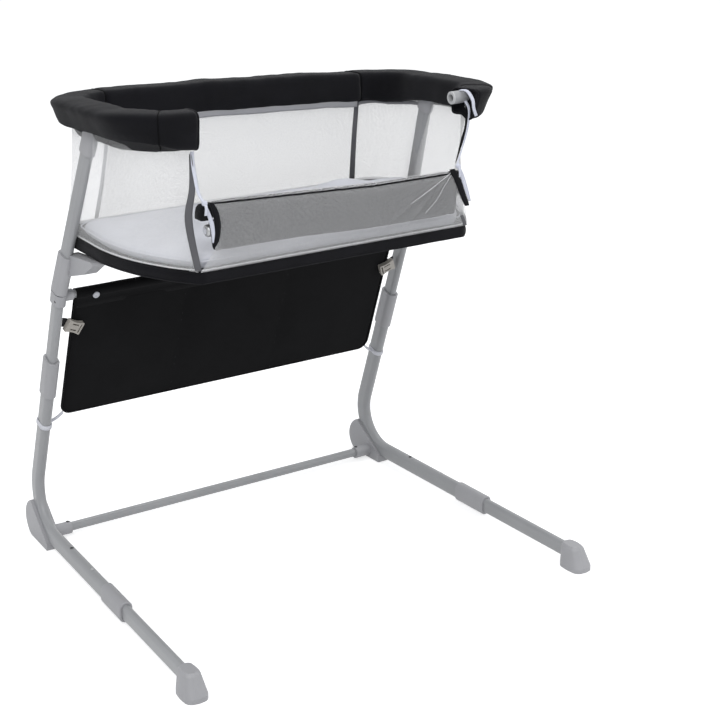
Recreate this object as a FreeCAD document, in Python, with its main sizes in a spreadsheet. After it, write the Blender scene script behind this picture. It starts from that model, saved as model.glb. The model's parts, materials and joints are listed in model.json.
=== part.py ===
import FreeCAD, Part
import math
import os
import Sketcher

# A bedside crib: two L-shaped telescoping legs carry a bassinet whose front side drops.
# Millimetres, +Z up, +X along the bassinet, -Y towards the adult bed.
# Depths are given as distances in front of the heel line, where the uprights meet the floor run.

vec = FreeCAD.Vector
SIZES = {
    # standing base
    "leg_spacing": 792.0,
    "heel_y": 370.4,
    "tube_level": 27.0,
    "lean": 17.4,
    "toe_out": 2.6,
    "bend_radius": 85.0,
    "tube_long": 35.0,
    "tube_short": 20.0,
    "tube_wall": 1.5,
    "leg_top": 388.0,
    "leg_front": 440.0,
    "bush_margin": 6.0,
    "bush_fit": 0.8,
    "bush_rounding": 1.8,
    "fitting_margin": 3.0,
    "height_bush_low": 313.0,
    "height_bush_high": 397.0,
    "foot_bush_rear": 366.0,
    "foot_bush_front": 451.0,
    "crossbar_depth": 66.0,
    "crossbar_level": 17.5,
    "crossbar_size": 18.0,
    "crossbar_bore": 15.0,
    "crossbar_socket": 25.0,
    "crossbar_end": 20.0,
    "socket_reach": 52.0,
    "foot_side_wall": 6.0,
    "foot_rounding": 4.0,
    "foot_top_angle": 22.0,
    "foot_overlap": 6.0,
    "foot_heel_bulge": 18.0,
    "foot_heel_drop": 80.0,
    "foot_rear_tuck": 4.0,
    "foot_front_tuck": 8.0,
    "foot_grip": 5.0,
    # telescoping feet
    "inner_long": 31.2,
    "inner_short": 16.2,
    "foot_rear": 275.0,
    "foot_front": 712.0,
    "cap_rear": 684.0,
    "cap_front": 746.0,
    "cap_width": 46.0,
    "cap_brow_width": 34.0,
    "cap_top_width": 25.0,
    "cap_height": 46.0,
    "cap_brow_drop": 5.0,
    "cap_brow_slope": 17.0,
    "cap_top_slope": 23.0,
    "cap_rear_lip": 2.0,
    "cap_corner": 15.0,
    "cap_brow_corner": 13.0,
    "cap_top_corner": 9.0,
    "cap_crown": 1.0,
    "cap_sole": 9.0,
    "cap_grip": 6.0,
    "foot_hole": 300.0,
    "foot_travel": 100.0,
    "button_size": 8.0,
    "button_fit": 0.3,
    "button_stem": 5.6,
    "button_proud": 1.6,
    "button_rounding": 1.5,
    "spring_width": 8.0,
    "spring_thick": 0.8,
    "spring_bend": 3.0,
    "spring_reach": 16.0,
    "spring_lift": 1.7,
    # height carriage
    "riser_low": 226.0,
    "riser_high": 548.0,
    "height_hole": 355.0,
    "fitting_low": 527.0,
    "fitting_high": 551.4,
    "split": 553.0,
    "hanger_at": 541.0,
    "hanger_size": 16.0,
    "hanger_bore": 13.4,
    "hanger_socket": 22.0,
    "hanger_boss": 27.0,
    "hanger_wall": 2.0,
    "hanger_gap": 0.2,
    "screw_hole": 4.4,
    "screw_back": 9.0,
    "screw_rise": 10.0,
    "sleeve_length": 80.0,
    "sleeve_margin": 8.0,
    "sleeve_rounding": 1.2,
    "gusset_rounding": 4.0,
    "gusset_inner": 11.0,
    "gusset_outer": 6.0,
    "gusset_heel_depth": 176.0,
    "gusset_heel_level": 584.0,
    "gusset_rear_depth": 186.0,
    "gusset_rear_level": 631.0,
    "gusset_seat_rear": 288.0,
    "gusset_seat_front": 306.0,
    "gusset_seat_level": 642.7,
    "gusset_brace_depth": 262.0,
    "gusset_brace_level": 612.0,
    "arm_inset": 29.0,
    # rim
    "rim_half": 367.0,
    "rim_rear": 133.0,
    "rim_front": 457.0,
    "rim_corner": 85.0,
    "rim_return": 278.8,
    "rim_rear_level": 880.0,
    "rim_tilt": 3.9,
    "rim_size": 24.0,
    "rim_wall": 1.5,
    "cover_fit": 0.4,
    "cover_width": 46.0,
    "cover_height": 64.0,
    "cover_corner": 14.0,
    "cover_crown": 2.0,
    "cover_flare": 20.0,
    "cover_skirt": 5.0,
    "cover_dip": 4.0,
    "cover_return": 276.0,
    "joint_fit": 6.6,
    "joint_length": 60.0,
    "joint_top": 4.0,
    "joint_rounding": 1.4,
    "saddle_start": 60.0,
    "saddle_length": 200.0,
    "notch_length": 78.0,
    "notch_top": 2.0,
    "socket_bore": 14.0,
    "socket_flange": 2.5,
    "socket_chamfer": 0.8,
    "socket_depth": 5.0,
    # floor
    "floor_half": 375.0,
    "floor_rear": 115.0,
    "floor_front": 503.0,
    "floor_corner": 60.0,
    "floor_sweep": 315.0,
    "floor_shoulder": 280.0,
    "floor_level": 643.0,
    "frame_size": 16.0,
    "frame_bore": 13.4,
    "frame_bend": 30.0,
    "frame_inset": 2.0,
    "board_thick": 4.0,
    "board_inset": 4.0,
    "board_gap": 0.1,
    "band_height": 24.0,
    "cloth_thick": 1.2,
    "band_thick": 1.6,
    "wall_gap": 0.3,
    "wall_step": 0.2,
    "wall_inset": 17.0,
    "wall_drop": 29.0,
    "seam_low": 292.0,
    "seam_high": 278.0,
    "mattress_gap": 20.0,
    "mattress_thick": 22.0,
    "mattress_seat": 0.6,
    "mattress_corner": 24.0,
    "mattress_rounding": 9.0,
    # drop rail
    "rail_depth": 500.0,
    "rail_level": 737.0,
    "rail_half": 257.0,
    "rail_size": 22.0,
    "rail_cover_height": 74.0,
    "rail_cover_thick": 26.0,
    "rail_cover_corner": 8.0,
    "rail_cover_crown": 1.5,
    "rail_cover_inset": 2.0,
    "rail_button_inset": 6.5,
    "rail_button_seat": 5.2,
    "rail_button_proud": 3.0,
    "well_floor": 1.5,
    "plug_reach": 18.0,
    "plug_spigot": 14.0,
    "plug_nose": 5.0,
    "plug_step": 1.0,
    "panel_half": 266.0,
    "panel_gap": 1.4,
    "panel_rise": 1.0,
    "panel_bend": 7.0,
    "panel_behind": 8.0,
    "panel_tuck": 4.0,
    "panel_sill": 0.4,
    # storage bag
    "bag_half": 363.0,
    "bag_low": 256.0,
    "bag_thick": 3.0,
    "bag_corner": 20.0,
    "hem_drop": 26.0,
    "hem_thick": 1.5,
    "bag_seam_left": -123.0,
    "bag_seam_right": 114.0,
    "pocket_swell": 7.0,
    "tie_level": 236.0,
    "tie_width": 10.0,
    "tie_margin": 3.2,
    "tie_fit": 0.8,
    "strand_width": 8.0,
    "strand_reach": 5.0,
    "strand_rise": 2.0,
    "strand_tip": 6.0,
    "strap_width": 20.0,
    "strap_thick": 1.4,
    "strap_gap": 13.5,
    "strap_low": 462.0,
    "strap_rise": 6.0,
    "strap_seam": 0.2,
    "buckle_at": 362.0,
    "buckle_tilt": 24.0,
    "buckle_length": 34.0,
    "buckle_width": 28.0,
    "buckle_thick": 9.0,
    "buckle_gap": 4.5,
    "buckle_waist": 3.0,
    "buckle_rounding": 2.0,
    "window_inset": 8.0,
    "window_length": 14.0,
    "slot_width": 2.8,
    "slot_inset": 4.5,
}

doc = FreeCAD.newDocument("bedside_crib")
sheet = doc.addObject("Spreadsheet::Sheet", "Sizes")
for row, (alias, value) in enumerate(SIZES.items(), start=1):
    sheet.set("A%d" % row, alias)
    sheet.set("B%d" % row, str(value))
    sheet.setAlias("B%d" % row, alias)
doc.recompute()

parts = []


def size(alias):
    """A driving dimension, read back from the sheet."""
    return float(sheet.get(alias))


def frame_at(origin, x_axis, y_axis, z_axis):
    """A placement from an origin and three perpendicular directions."""
    return FreeCAD.Placement(origin, FreeCAD.Rotation(x_axis, y_axis, z_axis, "ZYX"))


# ---------------------------------------------------------------- directions and frames

LEAN = math.radians(size("lean"))
TOE = math.radians(size("toe_out"))
HEEL_Y = size("heel_y")
UPRIGHT = vec(0, -math.sin(LEAN), math.cos(LEAN))
LEG_LEAN = math.asin(math.cos(TOE) * math.sin(LEAN))


def heel(side):
    """Where a leg's upright and floor run would meet without the bend."""
    return vec(side * size("leg_spacing") / 2, HEEL_Y, size("tube_level"))


def leg_frame(side):
    """The plane of one bent leg: local -Y runs along the foot, the toes turned out."""
    back = vec(-side * math.sin(TOE), math.cos(TOE), 0)
    across = back.cross(UPRIGHT).normalize()
    return frame_at(heel(side), across, back, across.cross(back))


def crib_frame():
    """The crib's own upright frame, its origin on the floor under the heel line."""
    return FreeCAD.Placement(vec(0, HEEL_Y, 0), FreeCAD.Rotation())


def floor_frame(side):
    """The foot's direction laid flat on the floor."""
    origin = heel(side)
    origin.z = 0
    return FreeCAD.Placement(origin, FreeCAD.Rotation(vec(0, 0, 1), side * size("toe_out")))


def upright_frame(side, straight=False):
    """Local Z climbs the upright and Y points to the rear, in the leg's plane unless straight."""
    toe = 0.0 if straight else side * math.sin(TOE)
    back = vec(-toe, math.sqrt(1 - toe * toe), 0)
    across = back.cross(UPRIGHT).normalize()
    return frame_at(heel(side), across, UPRIGHT.cross(across), UPRIGHT)


def rim_height(depth):
    """Height of the tilted rim's middle at a depth in front of the heel line."""
    slope = math.tan(math.radians(size("rim_tilt")))
    return size("rim_rear_level") + (depth - size("rim_rear")) * slope


def arm_frame(side):
    """Local Z climbs the arm, which leans in from the split to the rim's end."""
    start = heel(side) + UPRIGHT * size("split")
    lean = math.tan(LEAN)
    slope = math.tan(math.radians(size("rim_tilt")))
    start_depth = HEEL_Y - start.y
    climb = rim_height(start_depth) - start.z
    climb = climb / (1 - slope * lean)
    along = vec(-side * size("arm_inset"), -lean * climb, climb)
    length = along.Length
    z_axis = along * (1 / length)
    y_axis = z_axis.cross(vec(1, 0, 0)).normalize()
    return frame_at(start, y_axis.cross(z_axis), y_axis, z_axis), length


def rim_frame():
    """The rim's own tilted plane, its origin over the rear rail's middle."""
    tilt = FreeCAD.Rotation(vec(1, 0, 0), -size("rim_tilt"))
    return FreeCAD.Placement(vec(0, HEEL_Y - size("rim_rear"), size("rim_rear_level")), tilt)


# ---------------------------------------------------------------- sketch and feature helpers


def body(name, placement=None):
    item = doc.addObject("PartDesign::Body", name)
    item.Label = name
    if placement:
        item.Placement = placement
    parts.append(item)
    return item


def helper_body(name, placement=None):
    """A body that shapes a sub-part but isn't one itself."""
    item = body(name, placement)
    parts.remove(item)
    return item


def sketch(owner, role, lift=None, name="Sketch"):
    """A sketch on one of the body's own planes, lifted along its normal by an expression."""
    item = owner.newObject("Sketcher::SketchObject", name)
    plane = next(feature for feature in owner.Origin.OriginFeatures if feature.Role == role)
    item.AttachmentSupport = [(plane, "")]
    item.MapMode = "FlatFace"
    if lift:
        item.setExpression("AttachmentOffset.Base.z", lift)
    return item


def bind(item, kind, *where):
    """Adds a dimension; the last two arguments are its start value and its expression."""
    *geometry, value, expression = where
    index = item.addConstraint(Sketcher.Constraint(kind, *geometry, value))
    item.setExpression("Constraints[%d]" % index, expression)


def oval(item, long_name, short_name, upright=True, extra=""):
    """A flat-oval outline about the sketch's origin; its long axis stands up or lies flat."""
    grow = margin_value(extra)
    radius = size(short_name) / 2 + grow / 2
    reach = (size(long_name) - size(short_name)) / 2
    turn = math.pi / 2 if upright else 0.0
    across, along = (vec(1, 0, 0), vec(0, 1, 0)) if upright else (vec(0, -1, 0), vec(1, 0, 0))
    ends = [along * reach, along * -reach]
    normal = vec(0, 0, 1)
    first = item.addGeometry(
        Part.ArcOfCircle(Part.Circle(ends[0], normal, radius), turn - math.pi / 2, turn + math.pi / 2)
    )
    item.addGeometry(Part.LineSegment(ends[0] - across * radius, ends[1] - across * radius))
    item.addGeometry(
        Part.ArcOfCircle(Part.Circle(ends[1], normal, radius), turn + math.pi / 2, turn + 3 * math.pi / 2)
    )
    item.addGeometry(Part.LineSegment(ends[1] + across * radius, ends[0] + across * radius))
    for step in range(4):
        here, there = first + step, first + (step + 1) % 4
        item.addConstraint(Sketcher.Constraint("Tangent", here, 2, there, 1))
    item.addConstraint(Sketcher.Constraint("Symmetric", first, 3, first + 2, 3, -1, 1))
    item.addConstraint(Sketcher.Constraint("Vertical" if upright else "Horizontal", first + 1))
    bind(item, "Radius", first, radius, "(Sizes.%s%s) / 2" % (short_name, extra))
    apart = "DistanceY" if upright else "DistanceX"
    bind(item, apart, first + 2, 3, first, 3, 2 * reach, "Sizes.%s - Sizes.%s" % (long_name, short_name))


def margin_value(extra):
    """The value of an added margin such as ' + Sizes.bush_margin' or ' - 2 * Sizes.tube_wall'."""
    if not extra:
        return 0.0
    sign = -1.0 if extra.strip().startswith("-") else 1.0
    factor = 2.0 if "2 *" in extra else 1.0
    return sign * factor * size(extra.split("Sizes.")[1])


def ring(item, diameter, x=0.0, y=0.0):
    """A circle whose diameter is an expression; its centre stays where it is drawn."""
    value = size(diameter)
    index = item.addGeometry(Part.Circle(vec(x, y, 0), vec(0, 0, 1), value / 2))
    bind(item, "Diameter", index, value, "Sizes.%s" % diameter)
    item.addConstraint(Sketcher.Constraint("DistanceX", -1, 1, index, 3, x))
    item.addConstraint(Sketcher.Constraint("DistanceY", -1, 1, index, 3, y))


def closed(item, edges):
    """Adds a loop of lines and arcs, each held where it is drawn."""
    first = item.GeometryCount
    for edge in edges:
        item.addGeometry(edge)
    for index in range(len(edges)):
        item.addConstraint(Sketcher.Constraint("Block", first + index))


def draw(item, run):
    """Adds a run of two-point lines and three-point arcs to a sketch."""
    closed(item, [Part.LineSegment(*p) if len(p) == 2 else Part.Arc(*p) for p in run])


def polygon(outline):
    """The lines round a list of (x, y) corners."""
    points = [vec(x, y, 0) for x, y in outline]
    return [(point, points[(index + 1) % len(points)]) for index, point in enumerate(points)]


def rounded_box(item, width, height, corner, y=0.0, crown=0.0):
    """A padded outline: rounded corners and sides that swell by the crown."""
    w = width / 2 - crown
    h = height / 2 - crown
    c = corner
    d = c * (1 - math.sqrt(0.5))
    points = [
        (vec(w, -h + c, 0), vec(w + crown, 0, 0), vec(w, h - c, 0)),
        (vec(w, h - c, 0), vec(w - d, h - d, 0), vec(w - c, h, 0)),
        (vec(w - c, h, 0), vec(0, h + crown, 0), vec(-w + c, h, 0)),
        (vec(-w + c, h, 0), vec(-w + d, h - d, 0), vec(-w, h - c, 0)),
        (vec(-w, h - c, 0), vec(-w - crown, 0, 0), vec(-w, -h + c, 0)),
        (vec(-w, -h + c, 0), vec(-w + d, -h + d, 0), vec(-w + c, -h, 0)),
        (vec(-w + c, -h, 0), vec(0, -h - crown, 0), vec(w - c, -h, 0)),
        (vec(w - c, -h, 0), vec(w - d, -h + d, 0), vec(w, -h + c, 0)),
    ]
    shift = vec(0, y, 0)
    draw(item, [tuple(point + shift for point in bend) for bend in points])


def padded_outline(item, corners, rounding, crown):
    """A soft outline round any corners: each is rounded and each side swells by the crown."""
    count = len(corners)
    bends = []
    for index, corner in enumerate(corners):
        back = (corners[index - 1] - corner).normalize()
        ahead = (corners[(index + 1) % count] - corner).normalize()
        half_angle = back.getAngle(ahead) / 2
        radius = rounding * math.tan(half_angle)
        inward = (back + ahead).normalize()
        middle = corner + inward * (radius / math.sin(half_angle) - radius)
        bends.append((corner + back * rounding, middle, corner + ahead * rounding))
    run = []
    for index, bend in enumerate(bends):
        start, finish = bend[2], bends[(index + 1) % count][0]
        out = (finish - start).cross(vec(0, 0, 1)).normalize()
        run += [bend, (start, (start + finish) * 0.5 + out * crown, finish)]
    draw(item, run)


def pad(owner, profile, length, name="Pad", reverse=False, midplane=False):
    feature = owner.newObject("PartDesign::Pad", name)
    feature.Profile = profile
    feature.setExpression("Length", length)
    feature.Reversed = reverse
    feature.Midplane = midplane


def turned(owner, profile):
    """Turns a profile right round its own vertical axis."""
    feature = owner.newObject("PartDesign::Revolution", "Turn")
    feature.Profile = profile
    feature.ReferenceAxis = (profile, ["V_Axis"])
    feature.Angle = 360


def swept(owner, profile, path, count):
    """Sweeps a profile along a path of that many edges."""
    feature = owner.newObject("PartDesign::AdditivePipe", "Sweep")
    feature.Profile = profile
    feature.Spine = (path, ["Edge%d" % (index + 1) for index in range(count)])


def pocket(owner, profile, length, name="Pocket", reverse=False, midplane=False):
    """Cuts the profile away and makes sure that it took something off."""
    doc.recompute()
    before = owner.Shape.Volume
    feature = owner.newObject("PartDesign::Pocket", name)
    feature.Profile = profile
    feature.setExpression("Length", length)
    feature.Reversed = reverse
    feature.Midplane = midplane
    doc.recompute()
    if owner.Shape.Volume >= before - 0.5:
        states = [(o.Name, o.State) for o in owner.Group]
        raise RuntimeError("%s in %s cuts nothing %s" % (name, owner.Label, states))


def fillet(owner, radius, chosen, name="Fillet"):
    """Rounds the edges of the body's tip that the test picks."""
    doc.recompute()
    base = owner.Tip
    edges = [
        "Edge%d" % (index + 1)
        for index, edge in enumerate(base.Shape.Edges)
        if chosen(edge)
    ]
    feature = owner.newObject("PartDesign::Fillet", name)
    feature.Base = (base, edges)
    feature.Radius = radius


def feature_part(name, shape):
    """A sub-part whose shape is made by code from the sheet's sizes."""
    item = doc.addObject("Part::Feature", name)
    item.Label = name
    item.Shape = shape
    parts.append(item)


def cut_part(name, base, tool):
    item = doc.addObject("Part::Cut", name)
    item.Label = name
    item.Base = base
    item.Tool = tool
    parts.append(item)
    return item


def side_name(side):
    return "left" if side < 0 else "right"


SIDES = (-1, 1)

# ---------------------------------------------------------------- standing base


def leg_path(item):
    """The leg's centreline: floor run, bend, upright."""
    radius = size("bend_radius")
    turn = math.pi / 2 + LEG_LEAN
    tangent = radius * math.tan(turn / 2)
    climb = vec(-math.sin(LEG_LEAN), math.cos(LEG_LEAN), 0)
    front = vec(-size("leg_front"), 0, 0)
    low = vec(-tangent, 0, 0)
    high = climb * tangent
    top = climb * size("leg_top")
    centre = vec(-tangent, radius, 0)
    item.addGeometry(Part.LineSegment(front, low))
    item.addGeometry(
        Part.ArcOfCircle(Part.Circle(centre, vec(0, 0, 1), radius), -math.pi / 2, LEG_LEAN)
    )
    item.addGeometry(Part.LineSegment(high, top))
    item.addConstraint(Sketcher.Constraint("Tangent", 0, 2, 1, 1))
    item.addConstraint(Sketcher.Constraint("Tangent", 1, 2, 2, 1))
    item.addConstraint(Sketcher.Constraint("PointOnObject", 0, 1, -1))
    item.addConstraint(Sketcher.Constraint("Horizontal", 0))
    item.addConstraint(Sketcher.Constraint("PointOnObject", -1, 1, 2))
    bind(item, "Radius", 1, radius, "Sizes.bend_radius")
    bind(item, "DistanceX", 0, 1, -1, 1, size("leg_front"), "Sizes.leg_front")
    bind(item, "Distance", -1, 1, 2, 2, size("leg_top"), "Sizes.leg_top")


def leg_tube(side):
    owner = body("leg_tube_" + side_name(side), leg_frame(side))
    path = sketch(owner, "YZ_Plane", name="LegPath")
    leg_path(path)
    profile = sketch(owner, "XZ_Plane", "Sizes.leg_front", "LegProfile")
    oval(profile, "tube_long", "tube_short")
    oval(profile, "tube_long", "tube_short", extra=" - 2 * Sizes.tube_wall")
    swept(owner, profile, path, 3)
    holes = sketch(owner, "XY_Plane", name="FootHoles")
    for depth in (size("foot_hole"), size("foot_hole") - size("foot_travel")):
        ring(holes, "button_size", 0, -depth)
    pocket(owner, holes, "Sizes.tube_long", "FootHoleCut", reverse=True)
    rear = vec(0, math.cos(LEG_LEAN), math.sin(LEG_LEAN))
    climb = vec(0, -math.sin(LEG_LEAN), math.cos(LEG_LEAN))
    lock = sketch(owner, "XY_Plane", name="HeightHole")
    right = vec(1, 0, 0)
    lock.AttachmentOffset = frame_at(climb * size("height_hole"), right, rear.cross(right), rear)
    ring(lock, "button_size")
    pocket(owner, lock, "Sizes.tube_long", "HeightHoleCut", reverse=True)


for side in SIDES:
    leg_tube(side)


def rear_foot_blank(side):
    """The foot's solid outside: a wedge behind and under the bend, and the crossbar's socket."""
    radius = size("bend_radius")
    bend_y = -radius * math.tan((math.pi / 2 + LEG_LEAN) / 2)
    bend_z = size("tube_level") + radius
    outer = radius + size("tube_long") / 2
    grip = -math.radians(size("foot_top_angle"))
    reach = outer - size("foot_overlap")
    front = bend_y + size("foot_front_tuck")
    under_level = size("tube_level") - size("tube_long") / 2 + size("foot_grip")
    top = vec(bend_y + reach * math.cos(grip), bend_z + reach * math.sin(grip), 0)
    bulge = vec(bend_y + outer + size("foot_heel_bulge"), bend_z - size("foot_heel_drop"), 0)
    floor_rear = vec(bend_y + outer - size("foot_rear_tuck"), 0, 0)
    floor_front = vec(front, 0, 0)
    under = vec(front, under_level, 0)
    owner = helper_body("RearFootBlank_" + side_name(side), floor_frame(side))
    profile = sketch(owner, "YZ_Plane", name="FootSide")
    draw(profile, [(top, bulge, floor_rear), (floor_rear, floor_front), (floor_front, under), (under, top)])
    pad(owner, profile, "Sizes.tube_short + 2 * Sizes.foot_side_wall", midplane=True)
    fillet(owner, size("foot_rounding"), lambda edge: isinstance(edge.Curve, Part.Circle))
    boss = sketch(owner, "YZ_Plane", name="SocketRound")
    ring(boss, "crossbar_socket", -size("crossbar_depth"), size("crossbar_level"))
    pad(owner, boss, "Sizes.socket_reach", "Socket", reverse=side > 0)
    return owner


def rear_foot(side):
    """A moulded shell that fills the wedge between bend and floor and takes the crossbar."""
    blank = rear_foot_blank(side)
    solid_leg = helper_body("LegClearance_" + side_name(side), leg_frame(side))
    path = sketch(solid_leg, "YZ_Plane", name="Path")
    leg_path(path)
    section = sketch(solid_leg, "XZ_Plane", "Sizes.leg_front", "Section")
    oval(section, "tube_long", "tube_short")
    swept(solid_leg, section, path, 3)
    shell = cut_part("FootShell_" + side_name(side), blank, solid_leg)
    parts.remove(shell)
    bar = helper_body("CrossbarClearance_" + side_name(side), crib_frame())
    crossbar_round(bar, "crossbar_size")
    cut_part("rear_foot_" + side_name(side), shell, bar)


def crossbar_round(owner, diameter):
    """A round bar from one rear foot to the other."""
    outline = sketch(owner, "YZ_Plane", name="CrossbarRound")
    ring(outline, diameter, -size("crossbar_depth"), size("crossbar_level"))
    pad(owner, outline, "Sizes.leg_spacing - 2 * Sizes.crossbar_end", midplane=True)


for side in SIDES:
    rear_foot(side)


def bush(name, placement, role, start, finish, tube_end):
    """A moulded oval bush: a deep bore for the outer tube and a lip that guides the inner one."""
    owner = body(name, placement)
    outline = sketch(owner, role, start, "BushOutline")
    oval(outline, "tube_long", "tube_short", extra=" + Sizes.bush_margin")
    pad(owner, outline, "%s - %s" % (finish, start))
    fillet(owner, size("bush_rounding"), lambda edge: edge.Length > 4)
    bore = sketch(owner, role, start, "BushBore")
    oval(bore, "tube_long", "tube_short")
    pocket(owner, bore, "%s - %s" % (tube_end, start), "BushBoreCut", reverse=True)
    lip = sketch(owner, role, start, "LipBore")
    oval(lip, "inner_long", "inner_short", extra=" + Sizes.bush_fit")
    pocket(owner, lip, "%s - %s" % (finish, start), "LipBoreCut", reverse=True)
    return owner


for side in SIDES:
    tag = side_name(side)
    bush(
        "foot_bush_" + tag, leg_frame(side), "XZ_Plane",
        "Sizes.foot_bush_rear", "Sizes.foot_bush_front", "Sizes.leg_front",
    )
    height_bush = bush(
        "height_bush_" + tag, upright_frame(side), "XY_Plane",
        "Sizes.height_bush_low", "Sizes.height_bush_high", "Sizes.leg_top",
    )
    lock = sketch(height_bush, "XZ_Plane", name="HeightHole")
    ring(lock, "button_size", 0, size("height_hole"))
    pocket(height_bush, lock, "Sizes.tube_long", "HeightHoleCut")


def lower_crossbar():
    owner = body("lower_crossbar", crib_frame())
    crossbar_round(owner, "crossbar_size")
    bore = sketch(owner, "YZ_Plane", name="CrossbarBore")
    ring(bore, "crossbar_bore", -size("crossbar_depth"), size("crossbar_level"))
    pocket(owner, bore, "Sizes.leg_spacing", "CrossbarBoreCut", midplane=True)


lower_crossbar()

# ---------------------------------------------------------------- telescoping feet


def straight_oval_tube(owner, role, lift, length):
    """A straight length of the inner flat-oval tube."""
    outline = sketch(owner, role, lift, "TubeOutline")
    oval(outline, "inner_long", "inner_short")
    oval(outline, "inner_long", "inner_short", extra=" - 2 * Sizes.tube_wall")
    pad(owner, outline, length)


def foot_tube(side):
    owner = body("foot_tube_" + side_name(side), leg_frame(side))
    straight_oval_tube(owner, "XZ_Plane", "Sizes.foot_rear", "Sizes.foot_front - Sizes.foot_rear")
    hole = sketch(owner, "XY_Plane", name="ButtonHole")
    ring(hole, "button_size", 0, -size("foot_hole"))
    pocket(owner, hole, "Sizes.tube_long", "ButtonHoleCut", reverse=True)


def cap_outline(item, rear_tuck, front_tuck, width, corner):
    """A rounded rectangle round the foot tube, seen from above, its ends tucked in."""
    rear = -size("cap_rear") - rear_tuck
    front = -size("cap_front") + front_tuck
    rounded_box(item, size(width), rear - front, size(corner), (rear + front) / 2, size("cap_crown"))


def foot_cap(side):
    """A moulded boot that flares towards the floor, with a pocket for the foot tube."""
    lip = size("cap_rear_lip")
    owner = helper_body("CapBlank_" + side_name(side), floor_frame(side))
    sole = sketch(owner, "XY_Plane", name="CapSole")
    cap_outline(sole, lip, 0.0, "cap_width", "cap_corner")
    pad(owner, sole, "Sizes.cap_sole", "SolePad")
    waist = sketch(owner, "XY_Plane", "Sizes.cap_sole", "CapWaist")
    cap_outline(waist, lip, 0.0, "cap_width", "cap_corner")
    brow = sketch(owner, "XY_Plane", "Sizes.cap_height - Sizes.cap_brow_drop", "CapBrow")
    cap_outline(brow, -lip, size("cap_brow_slope"), "cap_brow_width", "cap_brow_corner")
    high = sketch(owner, "XY_Plane", "Sizes.cap_height", "CapTop")
    cap_outline(high, lip, size("cap_top_slope"), "cap_top_width", "cap_top_corner")
    loft = owner.newObject("PartDesign::AdditiveLoft", "CapLoft")
    loft.Profile = waist
    loft.Sections = [brow, high]
    loft.Ruled = True
    tube_space = helper_body("TubeClearance_" + side_name(side), leg_frame(side))
    grip = sketch(tube_space, "XZ_Plane", "Sizes.cap_rear - Sizes.cap_grip", "CapPocket")
    oval(grip, "inner_long", "inner_short")
    pad(tube_space, grip, "Sizes.foot_front - Sizes.cap_rear + Sizes.cap_grip")
    cut_part("foot_cap_" + side_name(side), owner, tube_space)


def snap_button(name, placement, inner_face, outer_face):
    """A round button with a softly rounded head, standing on local Z."""
    owner = body(name, placement)
    outline = sketch(owner, "XY_Plane", "%g" % inner_face, "ButtonRound")
    across = size("button_size") - 2 * size("button_fit")
    index = outline.addGeometry(Part.Circle(vec(0, 0, 0), vec(0, 0, 1), across / 2))
    bind(outline, "Diameter", index, across, "Sizes.button_size - 2 * Sizes.button_fit")
    pad(owner, outline, "%g" % (outer_face - inner_face))
    doc.recompute()
    top = max(owner.Tip.Shape.Faces, key=lambda face: face.CenterOfMass.z)
    rim = top.Edges[0]
    fillet(owner, size("button_rounding"), lambda edge: edge.isSame(rim))


def leaf_spring(name, placement):
    """A bent strip that pushes the button out from the far wall of the inner tube."""
    thick = size("spring_thick")
    bend = size("spring_bend")
    back = -size("spring_width") / 2
    turn_at = size("spring_reach")
    low = -size("inner_long") / 2 + size("tube_wall") + size("spring_lift")
    high = BUTTON_SEAT - size("button_fit")
    outer_top = low + 2 * (bend + thick)
    middle = low + bend + thick
    owner = body(name, placement)
    outline = sketch(owner, "YZ_Plane", name="SpringStrip")
    draw(outline, [
        (vec(back, low, 0), vec(turn_at, low, 0)),
        (vec(turn_at, low, 0), vec(turn_at + bend + thick, middle, 0), vec(turn_at, outer_top, 0)),
        (vec(turn_at, outer_top, 0), vec(back, high, 0)),
        (vec(back, high, 0), vec(back, high - thick, 0)),
        (vec(back, high - thick, 0), vec(turn_at, outer_top - thick, 0)),
        (vec(turn_at, outer_top - thick, 0), vec(turn_at + bend, middle, 0), vec(turn_at, low + thick, 0)),
        (vec(turn_at, low + thick, 0), vec(back, low + thick, 0)),
        (vec(back, low + thick, 0), vec(back, low, 0)),
    ])
    pad(owner, outline, "Sizes.spring_width", midplane=True)


BUTTON_SEAT = size("inner_long") / 2 - size("tube_wall") - size("button_stem")
for side in SIDES:
    tag = side_name(side)
    foot_tube(side)
    foot_cap(side)
    at_hole = leg_frame(side).multiply(
        FreeCAD.Placement(vec(0, -size("foot_hole"), 0), FreeCAD.Rotation())
    )
    snap_button("foot_button_" + tag, at_hole, BUTTON_SEAT, size("tube_long") / 2 + size("button_proud"))
    leaf_spring("foot_spring_" + tag, at_hole)

# ---------------------------------------------------------------- height carriage


def riser(side):
    """The inner upright that slides in the leg; its hole faces the rear."""
    owner = body("riser_" + side_name(side), upright_frame(side))
    straight_oval_tube(owner, "XY_Plane", "Sizes.riser_low", "Sizes.riser_high - Sizes.riser_low")
    hole = sketch(owner, "XZ_Plane", name="RiserHole")
    ring(hole, "button_size", 0, size("height_hole"))
    pocket(owner, hole, "Sizes.tube_long", "RiserHoleCut")


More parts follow.
